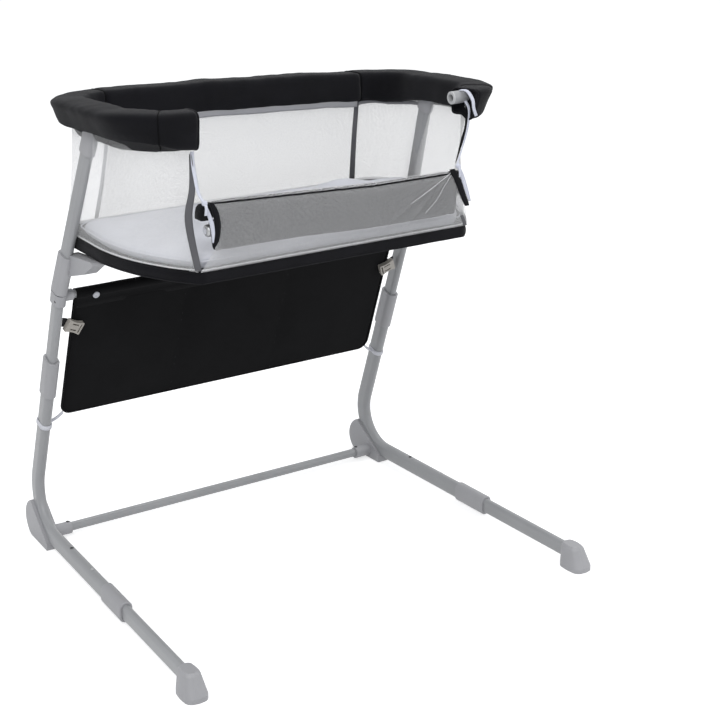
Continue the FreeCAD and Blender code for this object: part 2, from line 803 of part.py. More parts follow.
def crossbar_fitting(side):
    """Clamps the top of the riser and holds the end of the hanger bar."""
    place = upright_frame(side, straight=True)
    owner = helper_body("FittingBlank_" + side_name(side), place)
    outline = sketch(owner, "XY_Plane", "Sizes.fitting_low", "FittingOutline")
    oval(outline, "tube_long", "tube_short", extra=" + Sizes.fitting_margin")
    pad(owner, outline, "Sizes.fitting_high - Sizes.fitting_low")
    socket = sketch(owner, "YZ_Plane", name="HangerSocket")
    ring(socket, "hanger_socket", 0, size("hanger_at"))
    pad(owner, socket, "Sizes.hanger_boss", "HangerSocketPad", reverse=side > 0)
    wall = "%d * (Sizes.inner_short / 2 + Sizes.hanger_wall)" % -side
    bore = sketch(owner, "YZ_Plane", wall, "HangerBore")
    ring(bore, "hanger_size", 0, size("hanger_at"))
    pocket(owner, bore, "Sizes.hanger_boss", "HangerBoreCut", reverse=side < 0)
    screw = sketch(owner, "YZ_Plane", name="ScrewHole")
    ring(screw, "screw_hole", -size("screw_back"), size("fitting_low") + size("screw_rise"))
    pocket(owner, screw, "Sizes.hanger_boss", "ScrewHoleCut", reverse=side > 0)
    riser_space = helper_body("RiserClearance_" + side_name(side), upright_frame(side))
    space = sketch(riser_space, "XY_Plane", "Sizes.riser_low", "SpaceOutline")
    oval(space, "inner_long", "inner_short")
    pad(riser_space, space, "Sizes.riser_high - Sizes.riser_low")
    cut_part("crossbar_fitting_" + side_name(side), owner, riser_space)


def hanger_bar():
    """The upper crossbar that carries the storage bag."""
    owner = body("upper_crossbar", upright_frame(0))
    outline = sketch(owner, "YZ_Plane", name="HangerRound")
    ring(outline, "hanger_size", 0, size("hanger_at"))
    stop = "Sizes.inner_short / 2 + Sizes.hanger_wall + Sizes.hanger_gap"
    pad(owner, outline, "Sizes.leg_spacing - 2 * (%s)" % stop, midplane=True)
    bore = sketch(owner, "YZ_Plane", name="HangerHollow")
    ring(bore, "hanger_bore", 0, size("hanger_at"))
    pocket(owner, bore, "Sizes.leg_spacing", "HangerHollowCut", midplane=True)


def gusset(side):
    """The bracket plate from the sleeve up to the seat under the floor band."""
    inner_x = side * (size("floor_half") - size("gusset_inner"))
    outer_x = side * (size("leg_spacing") / 2 - size("gusset_outer"))
    outline = [
        ("gusset_heel_depth", "gusset_heel_level"),
        ("gusset_rear_depth", "gusset_rear_level"),
        ("gusset_seat_rear", "gusset_seat_level"),
        ("gusset_seat_front", "gusset_seat_level"),
        ("gusset_brace_depth", "gusset_brace_level"),
    ]
    points = [vec(outer_x, HEEL_Y - size(depth), size(level)) for depth, level in outline]
    plate = Part.Face(Part.makePolygon(points + points[:1])).extrude(vec(inner_x - outer_x, 0, 0))
    across = [edge for edge in plate.Edges if edge.BoundBox.XLength > size("cloth_thick")]
    rear = HEEL_Y - size("gusset_rear_depth")
    front = [edge for edge in across if edge.BoundBox.YMax < rear - 1]
    return plate.makeFillet(size("gusset_rounding"), front)


def arm_sleeve(side):
    """The oval sleeve over the split, with the gusset that carries the bassinet floor."""
    owner = helper_body("SleeveBlank_" + side_name(side), arm_frame(side)[0])
    outline = sketch(owner, "XY_Plane", name="SleeveOutline")
    oval(outline, "inner_long", "inner_short", extra=" + Sizes.sleeve_margin")
    pad(owner, outline, "Sizes.sleeve_length")
    top = size("sleeve_length")
    fillet(owner, size("sleeve_rounding"), lambda edge: edge.BoundBox.ZMin > top - 1)
    bore = sketch(owner, "XY_Plane", name="SleeveBore")
    oval(bore, "inner_long", "inner_short")
    pocket(owner, bore, "Sizes.sleeve_length", "SleeveBoreCut", reverse=True)
    doc.recompute()
    shape = owner.Shape.fuse(gusset(side)).cut(arm_tube_solid(side)).removeSplitter()
    feature_part("arm_sleeve_" + side_name(side), shape)


def arm_tube_solid(side):
    """The space of one arm tube, filled in, for cutting what it passes through."""
    place, length = arm_frame(side)
    radius = size("inner_short") / 2
    reach = (size("inner_long") - size("inner_short")) / 2
    core = Part.makeBox(2 * radius, 2 * reach, length, vec(-radius, -reach, 0))
    front = Part.makeCylinder(radius, length, vec(0, -reach, 0))
    rear = Part.makeCylinder(radius, length, vec(0, reach, 0))
    solid = core.fuse([front, rear]).removeSplitter()
    solid.Placement = place
    return solid


def arm_tube(side):
    place, length = arm_frame(side)
    owner = helper_body("ArmBlank_" + side_name(side), place)
    straight_oval_tube(owner, "XY_Plane", None, "%g" % length)
    rim = doc.addObject("Part::Cylinder", "RimClearance_" + side_name(side))
    rim.Radius = size("rim_size") / 2
    rim.Height = size("saddle_length")
    rim.Placement = rim_end_axis(side)
    cut_part("arm_tube_" + side_name(side), owner, rim)


def rim_end_axis(side):
    """A placement whose Z runs along one end of the rim, through the middle of its tube."""
    frame = rim_frame()
    origin = frame.multVec(vec(side * size("rim_half"), -size("saddle_start"), 0))
    along = frame.Rotation.multVec(vec(0, -1, 0))
    return FreeCAD.Placement(origin, FreeCAD.Rotation(vec(0, 0, 1), along))


def rim_joint(side):
    """A moulded socket on the arm whose saddle grips the rim tube from below."""
    place, length = arm_frame(side)
    owner = helper_body("JointBlank_" + side_name(side), place)
    low = length - size("joint_length")
    outline = sketch(owner, "XY_Plane", "%g" % low, "JointOutline")
    oval(outline, "inner_long", "inner_short", extra=" + Sizes.bush_margin")
    pad(owner, outline, "Sizes.joint_length - Sizes.joint_top")
    fillet(owner, size("joint_rounding"), lambda edge: edge.BoundBox.ZMax < low + 1)
    doc.recompute()
    tool = Part.makeCylinder(size("rim_size") / 2, size("saddle_length"))
    tool.Placement = rim_end_axis(side)
    shape = owner.Shape.cut(arm_tube_solid(side)).cut(tool)
    feature_part("rim_joint_" + side_name(side), shape)


for side in SIDES:
    riser(side)
    crossbar_fitting(side)
    arm_sleeve(side)
    arm_tube(side)
    rim_joint(side)
    at_hole = upright_frame(side).multiply(FreeCAD.Placement(
        vec(0, 0, size("height_hole")), FreeCAD.Rotation(vec(1, 0, 0), -90)
    ))
    outer = size("tube_long") / 2 + size("bush_margin") / 2 + size("button_proud")
    snap_button("height_button_" + side_name(side), at_hole, BUTTON_SEAT, outer)
    leaf_spring("height_spring_" + side_name(side), at_hole)
hanger_bar()

# ---------------------------------------------------------------- rim


def arc_about(x, y, radius, start, end):
    """An arc about a centre, between two angles in degrees, as its three points."""
    turns = [math.radians(start), math.radians((start + end) / 2), math.radians(end)]
    return tuple(vec(x + radius * math.cos(a), y + radius * math.sin(a), 0) for a in turns)


def mirrored(side, run):
    """The same run of lines and arcs on the chosen side of the middle."""
    return [tuple(vec(side * p.x, p.y, p.z) for p in points) for points in run]


def backwards(run):
    """The same run, walked from its other end."""
    return [points[::-1] for points in reversed(run)]


def rim_depth():
    """The rim's depth in its own tilted plane."""
    return (size("rim_front") - size("rim_rear")) / math.cos(math.radians(size("rim_tilt")))


def rim_end_edges(inset, start, finish):
    """One end of the rim outline, from the front return to the rear rail, in the rim's plane."""
    deep = rim_depth()
    straight = size("rim_half") - size("rim_corner")
    turn = size("rim_corner")
    edge = size("rim_half") - inset
    front = -deep + inset
    return [
        (vec(start, front, 0), vec(straight, front, 0)),
        arc_about(straight, -deep + turn, turn - inset, -90, 0),
        (vec(edge, -deep + turn, 0), vec(edge, -turn, 0)),
        arc_about(straight, -turn, turn - inset, 0, 90),
        (vec(straight, -inset, 0), vec(finish, -inset, 0)),
    ]


def rim_tube():
    owner = body("rim_tube", rim_frame())
    path = sketch(owner, "XY_Plane", name="RimPath")
    start = size("rim_return")
    right = rim_end_edges(0, start, 0)
    left = backwards(mirrored(-1, rim_end_edges(0, start, 0)))
    draw(path, right + left)
    ends = sketch(owner, "YZ_Plane", "Sizes.rim_return", "RimRound")
    ring(ends, "rim_size", -rim_depth(), 0)
    inner = size("rim_size") - 2 * size("rim_wall")
    index = ends.addGeometry(Part.Circle(vec(-rim_depth(), 0, 0), vec(0, 0, 1), inner / 2))
    bind(ends, "Diameter", index, inner, "Sizes.rim_size - 2 * Sizes.rim_wall")
    ends.addConstraint(Sketcher.Constraint("Coincident", index, 3, 0, 3))
    swept(owner, ends, path, len(right) + len(left))


def rim_socket(side):
    """The hollow end fitting that the drop rail's plug meets when the side is up."""
    place = rim_frame().multiply(FreeCAD.Placement(
        vec(side * size("rim_return"), -rim_depth(), 0), FreeCAD.Rotation(vec(0, 1, 0), side * 90)
    ))
    owner = body("rim_socket_" + side_name(side), place)
    spigot = size("rim_size") / 2 - size("rim_wall")
    flange = size("rim_size") / 2
    bore = size("socket_bore") / 2
    face = -size("socket_flange")
    chamfer = size("socket_chamfer")
    depth = size("socket_depth")
    half = sketch(owner, "XZ_Plane", name="SocketHalf")
    outline = [(bore, face), (flange - chamfer, face), (flange, face + chamfer), (flange, 0),
               (spigot, 0), (spigot, depth), (bore, depth)]
    draw(half, polygon(outline))
    turned(owner, half)


def cover_profile(item, y, outward):
    """The padding's section: upright inside, flared out towards its top on the outside."""
    crown = size("cover_crown")
    half_width = size("cover_width") / 2 - crown
    half_height = size("cover_height") / 2 - crown
    section = [
        (half_width + size("cover_skirt"), -half_height),
        (half_width + size("cover_flare"), half_height - size("cover_dip")),
        (-half_width, half_height),
        (-half_width, -half_height),
    ]
    corners = [vec(y + outward * out, up, 0) for out, up in section]
    padded_outline(item, corners, size("cover_corner"), outward * crown)
    bore = size("rim_size") + size("cover_fit")
    index = item.addGeometry(Part.Circle(vec(y, 0, 0), vec(0, 0, 1), bore / 2))
    bind(item, "Diameter", index, bore, "Sizes.rim_size + Sizes.cover_fit")


def rear_cover():
    owner = body("cover_rear", rim_frame())
    outline = sketch(owner, "YZ_Plane", name="CoverSection")
    cover_profile(outline, 0, 1)
    pad(owner, outline, "2 * (Sizes.rim_half - Sizes.rim_corner) - Sizes.cover_fit", midplane=True)


def end_cover(side):
    """The padding round one end, open underneath where the arm's joint comes up."""
    owner = helper_body("CoverBlank_" + side_name(side), rim_frame())
    start = size("cover_return")
    run = rim_end_edges(0, start, 0)[:4]
    path = sketch(owner, "XY_Plane", name="CoverPath")
    draw(path, mirrored(side, run))
    section = sketch(owner, "YZ_Plane", "%d * Sizes.cover_return" % side, "CoverSection")
    cover_profile(section, -rim_depth(), -1)
    swept(owner, section, path, len(run))
    place, length = arm_frame(side)
    notch = helper_body("JointClearance_" + side_name(side), place)
    low = length - size("notch_top") - size("notch_length")
    outline = sketch(notch, "XY_Plane", "%g" % low, "NotchOutline")
    oval(outline, "inner_long", "inner_short", extra=" + Sizes.joint_fit")
    pad(notch, outline, "Sizes.notch_length")
    cut_part("cover_" + side_name(side), owner, notch)


rim_tube()
rear_cover()
for side in SIDES:
    rim_socket(side)
    end_cover(side)

# ---------------------------------------------------------------- bassinet floor and walls


def floor_side_edges(inset, finish, bend=0.0):
    """One end of the floor outline, from the front seam to the rear edge; a bend rounds the seam."""
    sweep = size("floor_sweep") - inset
    middle_x = size("floor_half") - size("floor_sweep")
    shoulder = -size("floor_shoulder")
    front = -size("floor_front") + inset
    edge = size("floor_half") - inset
    corner = size("floor_corner")
    corner_x = size("floor_half") - corner
    corner_y = -size("floor_rear") - corner
    drop = front + bend - shoulder
    start = math.degrees(math.asin(drop / (sweep - bend)))
    bend_x = middle_x + (sweep - bend) * math.cos(math.radians(start))
    seam = [arc_about(bend_x, front + bend, bend, -90, start)] if bend else []
    return seam + [
        arc_about(middle_x, shoulder, sweep, start, 0),
        (vec(edge, shoulder, 0), vec(edge, corner_y, 0)),
        arc_about(corner_x, corner_y, corner - inset, 0, 90),
        (vec(corner_x, corner_y + corner - inset, 0), vec(finish, corner_y + corner - inset, 0)),
    ]


def floor_outline(inset, bend=0.0):
    """The whole floor outline, started at the middle of the rear edge."""
    right = floor_side_edges(inset, 0, bend)
    left = mirrored(-1, right)
    return backwards(left) + [(left[0][0], right[0][0])] + right


def crib_body(name):
    return body(name, crib_frame())


def floor_rod(owner, diameter):
    """A round bar bent along the floor outline, for the ring and for its hollow."""
    inset = size("frame_size") / 2 + size("frame_inset")
    path = sketch(owner, "XY_Plane", "Sizes.floor_level + Sizes.frame_size / 2", "RingPath")
    run = floor_outline(inset, size("frame_bend"))
    draw(path, run)
    section = sketch(owner, "YZ_Plane", name="RingSection")
    level = size("floor_level") + size("frame_size") / 2
    ring(section, diameter, -size("floor_rear") - inset, level)
    swept(owner, section, path, len(run))


def floor_ring():
    blank = helper_body("FrameBlank", crib_frame())
    floor_rod(blank, "frame_size")
    hollow = helper_body("FrameHollow", crib_frame())
    floor_rod(hollow, "frame_bore")
    cut_part("floor_frame", blank, hollow)


def floor_slab(name, inset, low, thick, bend=0.0):
    owner = crib_body(name)
    outline = sketch(owner, "XY_Plane", low, name + "Outline")
    draw(outline, floor_outline(inset, bend))
    pad(owner, outline, thick)
    return owner


def floor_band():
    owner = crib_body("floor_band")
    outline = sketch(owner, "XY_Plane", "Sizes.floor_level", "BandOutline")
    draw(outline, floor_outline(0))
    draw(outline, floor_outline(size("band_thick")))
    pad(owner, outline, "Sizes.band_height")


def wall_sections(owner):
    """The two planes a mesh wall is stretched between: the floor band and the rim's underside."""
    low = sketch(owner, "XY_Plane", "Sizes.floor_level + Sizes.band_height + Sizes.wall_gap", "WallFoot")
    high = sketch(owner, "XY_Plane", name="WallHead")
    rim = rim_frame()
    rim.Base = rim.Base - vec(0, HEEL_Y, 0)
    drop = FreeCAD.Placement(vec(0, 0, -size("wall_drop")), FreeCAD.Rotation())
    high.AttachmentOffset = rim.multiply(drop)
    return low, high


def strip_loop(outer, inner):
    """Closes an outer and an inner run of edges into one thin outline."""
    back = backwards(inner)
    return outer + [(outer[-1][-1], back[0][0])] + back + [(back[-1][-1], outer[0][0])]


def wall_loft(owner, low, high):
    """Stretches the wall straight from its foot to its head."""
    loft = owner.newObject("PartDesign::AdditiveLoft", "WallLoft")
    loft.Profile = low
    loft.Sections = [high]
    loft.Ruled = True


def end_wall(side):
    owner = crib_body("mesh_" + side_name(side))
    low, high = wall_sections(owner)
    thick = size("cloth_thick")
    step = size("wall_step")
    foot = [floor_side_edges(inset, size("seam_low")) for inset in (step, step + thick)]
    inset = size("wall_inset")
    head = [rim_end_edges(i, 0, size("seam_high"))[1:] for i in (inset, inset + thick)]
    draw(low, mirrored(side, strip_loop(*foot)))
    draw(high, mirrored(side, strip_loop(*head)))
    wall_loft(owner, low, high)


def rear_wall():
    owner = crib_body("mesh_rear")
    low, high = wall_sections(owner)
    thick = size("cloth_thick")
    step = size("wall_step")
    for item, half, depth in (
        (low, size("seam_low") - 2 * step, -size("floor_rear") - step),
        (high, size("seam_high") - 2 * step, -size("wall_inset")),
    ):
        corners = [(-half, depth), (half, depth), (half, depth - thick), (-half, depth - thick)]
        draw(item, polygon(corners))
    wall_loft(owner, low, high)


def mattress():
    low = "Sizes.floor_level + Sizes.frame_size + Sizes.board_thick + Sizes.mattress_seat"
    bend = size("mattress_corner")
    owner = floor_slab("mattress", size("mattress_gap"), low, "Sizes.mattress_thick", bend)
    fillet(owner, size("mattress_rounding"), lambda edge: edge.BoundBox.ZLength < 0.1, "EdgeRounding")


floor_ring()
board_low = "Sizes.floor_level + Sizes.frame_size + Sizes.board_gap"
floor_slab("floor_board", size("board_inset"), board_low, "Sizes.board_thick")
floor_band()
for side in SIDES:
    end_wall(side)
rear_wall()
mattress()

# ---------------------------------------------------------------- storage bag, ties and straps


def low_corner(edge):
    """Whether an edge is one of the bag's two lower corners."""
    box = edge.BoundBox
    return box.XLength < 0.1 and box.YLength > 2 and box.ZMax < size("bag_low") + 1


def storage_bag():
    """A flat hanging bag: a hem round the upper crossbar and three pockets that swell forwards."""
    owner = body("storage_bag", upright_frame(0))
    half = size("bag_half")
    back = size("bag_thick") / 2
    seams = [-half, size("bag_seam_left"), size("bag_seam_right"), half]
    hem_low = size("hanger_at") - size("hem_drop")
    pockets = sketch(owner, "XY_Plane", "Sizes.bag_low", "Pockets")
    run = []
    for start, finish in zip(seams, seams[1:]):
        middle = (start + finish) / 2
        run.append((vec(start, -back, 0), vec(middle, -back - size("pocket_swell"), 0),
                    vec(finish, -back, 0)))
    run += [(vec(half, -back, 0), vec(half, back, 0))]
    run += [(vec(half, back, 0), vec(-half, back, 0)), (vec(-half, back, 0), vec(-half, -back, 0))]
    draw(pockets, run)
    pad(owner, pockets, "Sizes.hanger_at - Sizes.hem_drop - Sizes.bag_low", "PocketPad")
    fillet(owner, size("bag_corner"), low_corner)
    hem = sketch(owner, "YZ_Plane", name="Hem")
    around = size("hanger_size") / 2 + size("hem_thick")
    meet = math.degrees(math.asin(back / around))
    centre = size("hanger_at")
    arc = arc_about(0, centre, around, -90 + meet, 270 - meet)
    top = [vec(-back, hem_low, 0), vec(back, hem_low, 0)]
    draw(hem, [(top[0], top[1]), (top[1], arc[0]), arc, (arc[2], top[0])])
    index = hem.addGeometry(Part.Circle(vec(0, centre, 0), vec(0, 0, 1), size("hanger_size") / 2))
    bind(hem, "Diameter", index, size("hanger_size"), "Sizes.hanger_size")
    pad(owner, hem, "2 * Sizes.bag_half", "HemPad", midplane=True)


def leg_tie(side):
    """An elastic band round the outer leg tube with a strand to the bag's lower corner."""
    owner = body("leg_tie_" + side_name(side), upright_frame(side))
    band = sketch(owner, "XY_Plane", "Sizes.tie_level", "TieBand")
    oval(band, "tube_long", "tube_short", extra=" + Sizes.tie_margin")
    pad(owner, band, "Sizes.tie_width")
    strand = sketch(owner, "XZ_Plane", name="TieStrand")
    reach = size("strand_reach")
    low = size("tie_level") + (size("tie_width") - size("strand_width")) / 2
    near = -side * size("tube_short") / 2
    far = -side * (size("leg_spacing") / 2 - size("bag_half") + reach)
    corner = size("bag_low") + size("strand_rise")
    draw(strand, polygon([
        (near, low), (far, corner), (far + side * reach, corner + size("strand_tip")),
        (near, low + size("strand_width")),
    ]))
    pad(owner, strand, "Sizes.strap_thick", "StrandPad", midplane=True)
    bore = sketch(owner, "XY_Plane", "Sizes.tie_level", "TieBore")
    oval(bore, "tube_long", "tube_short", extra=" + Sizes.tie_fit")
    pocket(owner, bore, "2 * Sizes.tie_width", "TieBoreCut", reverse=True)


def strap_tab(side):
    """A webbing tab sewn to the bag's side edge, reaching out to the upright."""
    owner = body("strap_" + side_name(side), upright_frame(0))
    outline = sketch(owner, "XZ_Plane", name="TabOutline")
    near = side * (size("bag_half") + size("strap_seam"))
    far = side * (size("leg_spacing") / 2 - size("strap_gap"))
    low = size("strap_low")
    high = low + size("strap_width")
    rise = size("strap_rise")
    draw(outline, polygon([(near, low), (far, low + rise), (far, high + rise), (near, high)]))
    pad(owner, outline, "Sizes.strap_thick", midplane=True)


def through_edge(edge):
    """Whether an edge runs straight through the buckle's thickness."""
    return edge.BoundBox.YLength > 4 and edge.BoundBox.XLength < 1


def buckle(side):
    """A side-release buckle's socket: waisted sides, two release windows and a webbing slot."""
    place = upright_frame(0).multiply(FreeCAD.Placement(
        vec(side * size("buckle_at"), 0, size("strap_low") + size("strap_width") / 2),
        FreeCAD.Rotation(vec(0, 1, 0), side * -size("buckle_tilt")),
    ))
    owner = body("buckle_" + side_name(side), place)
    half = size("buckle_width") / 2
    reach = size("buckle_length") / 2
    waist = half - size("buckle_waist")
    outline = sketch(owner, "XZ_Plane", "Sizes.buckle_gap", "BuckleOutline")
    draw(outline, [
        (vec(-reach, -half, 0), vec(0, -waist, 0), vec(reach, -half, 0)),
        (vec(reach, -half, 0), vec(reach, half, 0)),
        (vec(reach, half, 0), vec(0, waist, 0), vec(-reach, half, 0)),
        (vec(-reach, half, 0), vec(-reach, -half, 0)),
    ])
    pad(owner, outline, "Sizes.buckle_thick")
    fillet(owner, size("buckle_rounding"), through_edge)
    windows = sketch(owner, "XZ_Plane", "Sizes.buckle_gap + Sizes.buckle_thick", "BuckleWindows")
    level = half - size("window_inset")
    narrow = size("slot_width") / 2
    long = size("window_length") / 2
    slot = -side * (reach - size("slot_inset"))
    tall = half - size("slot_inset")
    for x, z, w, h in [(0, level, long, narrow), (0, -level, long, narrow), (slot, 0, narrow, tall)]:
        draw(windows, polygon([(x - w, z - h), (x + w, z - h), (x + w, z + h), (x - w, z + h)]))
    pocket(owner, windows, "Sizes.buckle_thick", "WindowCut")


storage_bag()
for side in SIDES:
    leg_tie(side)
    strap_tab(side)
    buckle(side)

# ---------------------------------------------------------------- drop rail and front panel


def rail_frame():
    return FreeCAD.Placement(
        vec(0, HEEL_Y - size("rail_depth"), size("rail_level")), FreeCAD.Rotation()
    )


def rail_tube():
    owner = body("rail_tube", rail_frame())
    outline = sketch(owner, "YZ_Plane", name="RailRound")
    ring(outline, "rail_size")
    inner = size("rail_size") - 2 * size("rim_wall")
    index = outline.addGeometry(Part.Circle(vec(0, 0, 0), vec(0, 0, 1), inner / 2))
    bind(outline, "Diameter", index, inner, "Sizes.rail_size - 2 * Sizes.rim_wall")
    outline.addConstraint(Sketcher.Constraint("Coincident", index, 3, 0, 3))
    pad(owner, outline, "2 * Sizes.rail_half", midplane=True)


def rail_cover():
    owner = body("rail_cover", rail_frame())
    outline = sketch(owner, "YZ_Plane", name="RailCoverSection")
    corner, crown = size("rail_cover_corner"), size("rail_cover_crown")
    rounded_box(outline, size("rail_cover_thick"), size("rail_cover_height"), corner, 0, crown)
    bore = size("rail_size") + size("cover_fit")
    index = outline.addGeometry(Part.Circle(vec(0, 0, 0), vec(0, 0, 1), bore / 2))
    bind(outline, "Diameter", index, bore, "Sizes.rail_size + Sizes.cover_fit")
    pad(owner, outline, "2 * (Sizes.rail_half - Sizes.rail_cover_inset)", midplane=True)


def rail_plug(side):
    """The rail's metal end plug with a well for its release button on top."""
    place = rail_frame().multiply(FreeCAD.Placement(
        vec(side * size("rail_half"), 0, 0), FreeCAD.Rotation(vec(0, 1, 0), side * 90)
    ))
    owner = body("rail_plug_" + side_name(side), place)
    spigot = size("rail_size") / 2 - size("rim_wall")
    rim = size("rail_size") / 2
    nose = size("plug_nose")
    reach = size("plug_reach")
    shoulder = reach - size("plug_step")
    back = -size("plug_spigot")
    tip = rim - nose
    low = shoulder - nose
    bend = nose * math.sqrt(0.5)
    half = sketch(owner, "XZ_Plane", name="PlugHalf")
    draw(half, [
        (vec(0, back, 0), vec(spigot, back, 0)),
        (vec(spigot, back, 0), vec(spigot, 0, 0)),
        (vec(spigot, 0, 0), vec(rim, 0, 0)),
        (vec(rim, 0, 0), vec(rim, low, 0)),
        (vec(rim, low, 0), vec(tip + bend, low + bend, 0), vec(tip, shoulder, 0)),
        (vec(tip, shoulder, 0), vec(tip, reach, 0)),
        (vec(tip, reach, 0), vec(0, reach, 0)),
        (vec(0, reach, 0), vec(0, back, 0)),
    ])
    turned(owner, half)
    well = sketch(owner, "YZ_Plane", "%d * Sizes.rail_size / 2" % -side, "ButtonWell")
    ring(well, "button_size", 0, size("rail_button_inset"))
    pocket(owner, well, "Sizes.rail_size / 2 - Sizes.well_floor", "ButtonWellCut", reverse=side > 0)


def rail_button(side):
    """The release button that stands up out of the rail's plug."""
    place = rail_frame().multiply(FreeCAD.Placement(
        vec(side * (size("rail_half") + size("rail_button_inset")), 0, 0), FreeCAD.Rotation()
    ))
    outer = size("rail_size") / 2 + size("rail_button_proud")
    snap_button("rail_button_" + side_name(side), place, size("rail_button_seat"), outer)


def front_panel():
    """The net of the dropped side, hanging over the outside of the lowered rail."""
    owner = crib_body("front_panel")
    outline = sketch(owner, "YZ_Plane", name="PanelSide")
    thick = size("cloth_thick")
    bend = size("panel_bend")
    face = -size("rail_depth") - size("rail_cover_thick") / 2 - size("panel_gap")
    top = size("rail_level") + size("rail_cover_height") / 2 + size("panel_rise")
    bottom = size("rail_level") - size("rail_cover_height") / 2 + size("panel_tuck")
    sill = size("floor_level") + size("band_height") + size("panel_sill")
    foot = -size("floor_front") - size("wall_step")
    behind = -size("rail_depth") + size("panel_behind")
    turn = bend - thick * math.tan(math.pi / 8)
    inner = [(behind, top), (face + bend, top), (face, top - bend), (face, bottom), (foot, sill)]
    outer = [(behind, top + thick), (face + turn, top + thick), (face - thick, top - turn),
             (face - thick, bottom), (foot - thick, sill)]
    draw(outline, polygon(inner + outer[::-1]))
    pad(owner, outline, "2 * Sizes.panel_half", midplane=True)


rail_tube()
rail_cover()
for side in SIDES:
    rail_plug(side)
    rail_button(side)
front_panel()

# ---------------------------------------------------------------- checks and files

doc.recompute()
for item in doc.Objects:
    broken = [state for state in item.State if state in ("Invalid", "Error")]
    if broken:
        raise RuntimeError("%s is %s" % (item.Name, broken))
for item in parts:
    shape = item.Shape
    if shape.isNull() or not shape.isValid() or len(shape.Solids) != 1:
        raise RuntimeError("%s has no valid single solid" % item.Label)
os.makedirs("parts", exist_ok=True)
for item in parts:
    item.Shape.exportStep("parts/%s.step" % item.Label)
total = FreeCAD.BoundBox()
for item in parts:
    total.add(item.Shape.optimalBoundingBox())
print(len(parts), "parts within", total)
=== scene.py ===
import json
from math import asin, copysign, cos, degrees, dist, exp, pi, radians, sin, sqrt

import bpy
from mathutils import Matrix, Vector, noise


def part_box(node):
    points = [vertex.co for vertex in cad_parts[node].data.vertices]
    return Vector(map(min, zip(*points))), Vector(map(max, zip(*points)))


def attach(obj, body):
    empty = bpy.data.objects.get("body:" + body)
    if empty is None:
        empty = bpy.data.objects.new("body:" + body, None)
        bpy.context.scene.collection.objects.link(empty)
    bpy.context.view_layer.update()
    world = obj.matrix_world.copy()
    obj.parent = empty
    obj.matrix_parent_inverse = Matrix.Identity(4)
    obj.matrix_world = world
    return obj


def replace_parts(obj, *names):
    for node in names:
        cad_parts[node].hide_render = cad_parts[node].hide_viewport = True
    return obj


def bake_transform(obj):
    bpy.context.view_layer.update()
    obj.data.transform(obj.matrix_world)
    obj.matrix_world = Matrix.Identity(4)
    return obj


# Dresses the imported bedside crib: padded rim, net walls, mattress, storage bag, zips and trim.
# Metres, in the row frame. Depths run from the heel line, where the uprights meet the floor run.
# Tables by side have -1 for the left and 1 for the right.

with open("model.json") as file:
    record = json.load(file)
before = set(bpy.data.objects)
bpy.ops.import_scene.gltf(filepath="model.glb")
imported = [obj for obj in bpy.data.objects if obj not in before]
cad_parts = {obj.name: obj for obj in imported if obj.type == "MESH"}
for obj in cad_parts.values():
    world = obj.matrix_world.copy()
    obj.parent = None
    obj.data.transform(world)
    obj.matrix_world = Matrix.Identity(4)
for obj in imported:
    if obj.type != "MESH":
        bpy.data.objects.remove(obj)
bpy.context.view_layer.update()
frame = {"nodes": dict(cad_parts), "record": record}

# ---------------- places and sizes

FLOOR_FRONT = 0.503
FLOOR_REAR = 0.115
FLOOR_MIDDLE = 0.31
FLOOR_HALF = 0.375
FLOOR_SWEEP = 0.315
FLOOR_SHOULDER = 0.28
FLOOR_CORNER = 0.06
BAND_LOW, BAND_HIGH = (corner[2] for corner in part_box("floor_band"))
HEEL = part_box("floor_band")[0][1] + FLOOR_FRONT

RIM_HALF = 0.367
RIM_REAR = 0.133
RIM_FRONT = 0.457
RIM_CORNER = 0.085
RIM_STRAIGHT = RIM_HALF - RIM_CORNER
RIM_LEVEL = 0.88
RIM_TILT = radians(3.9)
RIM_DEEP = (RIM_FRONT - RIM_REAR) / cos(RIM_TILT)
COVER_WIDTH = 0.046
COVER_HEIGHT = {-1: 0.069, 1: 0.06}
COVER_STEP = 0.006
REAR_HEIGHT = 0.059
COVER_SAG = [(-0.4, -0.006), (-0.28, -0.006), (-0.075, -0.0024), (0.065, 0.0035), (0.18, 0.0077),
             (0.28, 0.014), (0.4, 0.014)]
COVER_SEAMS = (0.052, 0.43)
WRINKLE = 0.0016
INNER_LIFT = {-1: 0.0, 1: 0.01}
COVER_RETURN = {-1: 0.277, 1: 0.306}
COVER_FLARE = 0.024
COVER_SKIRT = 0.004
HEM_LIFT = {-1: 0.023, 1: 0.0}
HEM_RISE = (0.0, 0.1)
FLARE_RISE = {-1: (0.03, 0.15), 1: (-0.03, 0.035)}

WALL_MIDDLE = 0.3
WALL_INSET = 0.017
WALL_DROP = 0.029
WALL_TUCK = 0.018
WALL_SPREAD = 0.024
WALL_DRAWN_IN = 0.0035
WALL_HEAD = {-1: 0.0, 1: 0.3145}
WALL_ROWS = 18
EDGE_REACH = 0.11
SEAM_LOW = 0.292
SEAM_HIGH = 0.278
BINDING_LEFT, BINDING_END = -0.3, 0.7
BINDING_DROP = 0.003

MATTRESS_LOW, MATTRESS_HIGH = (corner[2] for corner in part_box("mattress"))
MATTRESS_GAP = 0.009
MATTRESS_SHRINK = 0.0015
MATTRESS_VOXEL = 0.006
REAR_DRAW = 0.036
SWELL_LIMIT = 0.0045

RAIL_DEPTH = 0.5
RAIL_LEVEL = 0.737
RAIL_HALF = 0.255
RAIL_THICK = 0.026
RAIL_HEIGHT = 0.074
RAIL_RISE = 0.0145
RAIL_HANG = 0.008
PANEL_HALF = 0.26
FACE = RAIL_DEPTH + RAIL_THICK / 2 + 0.0018

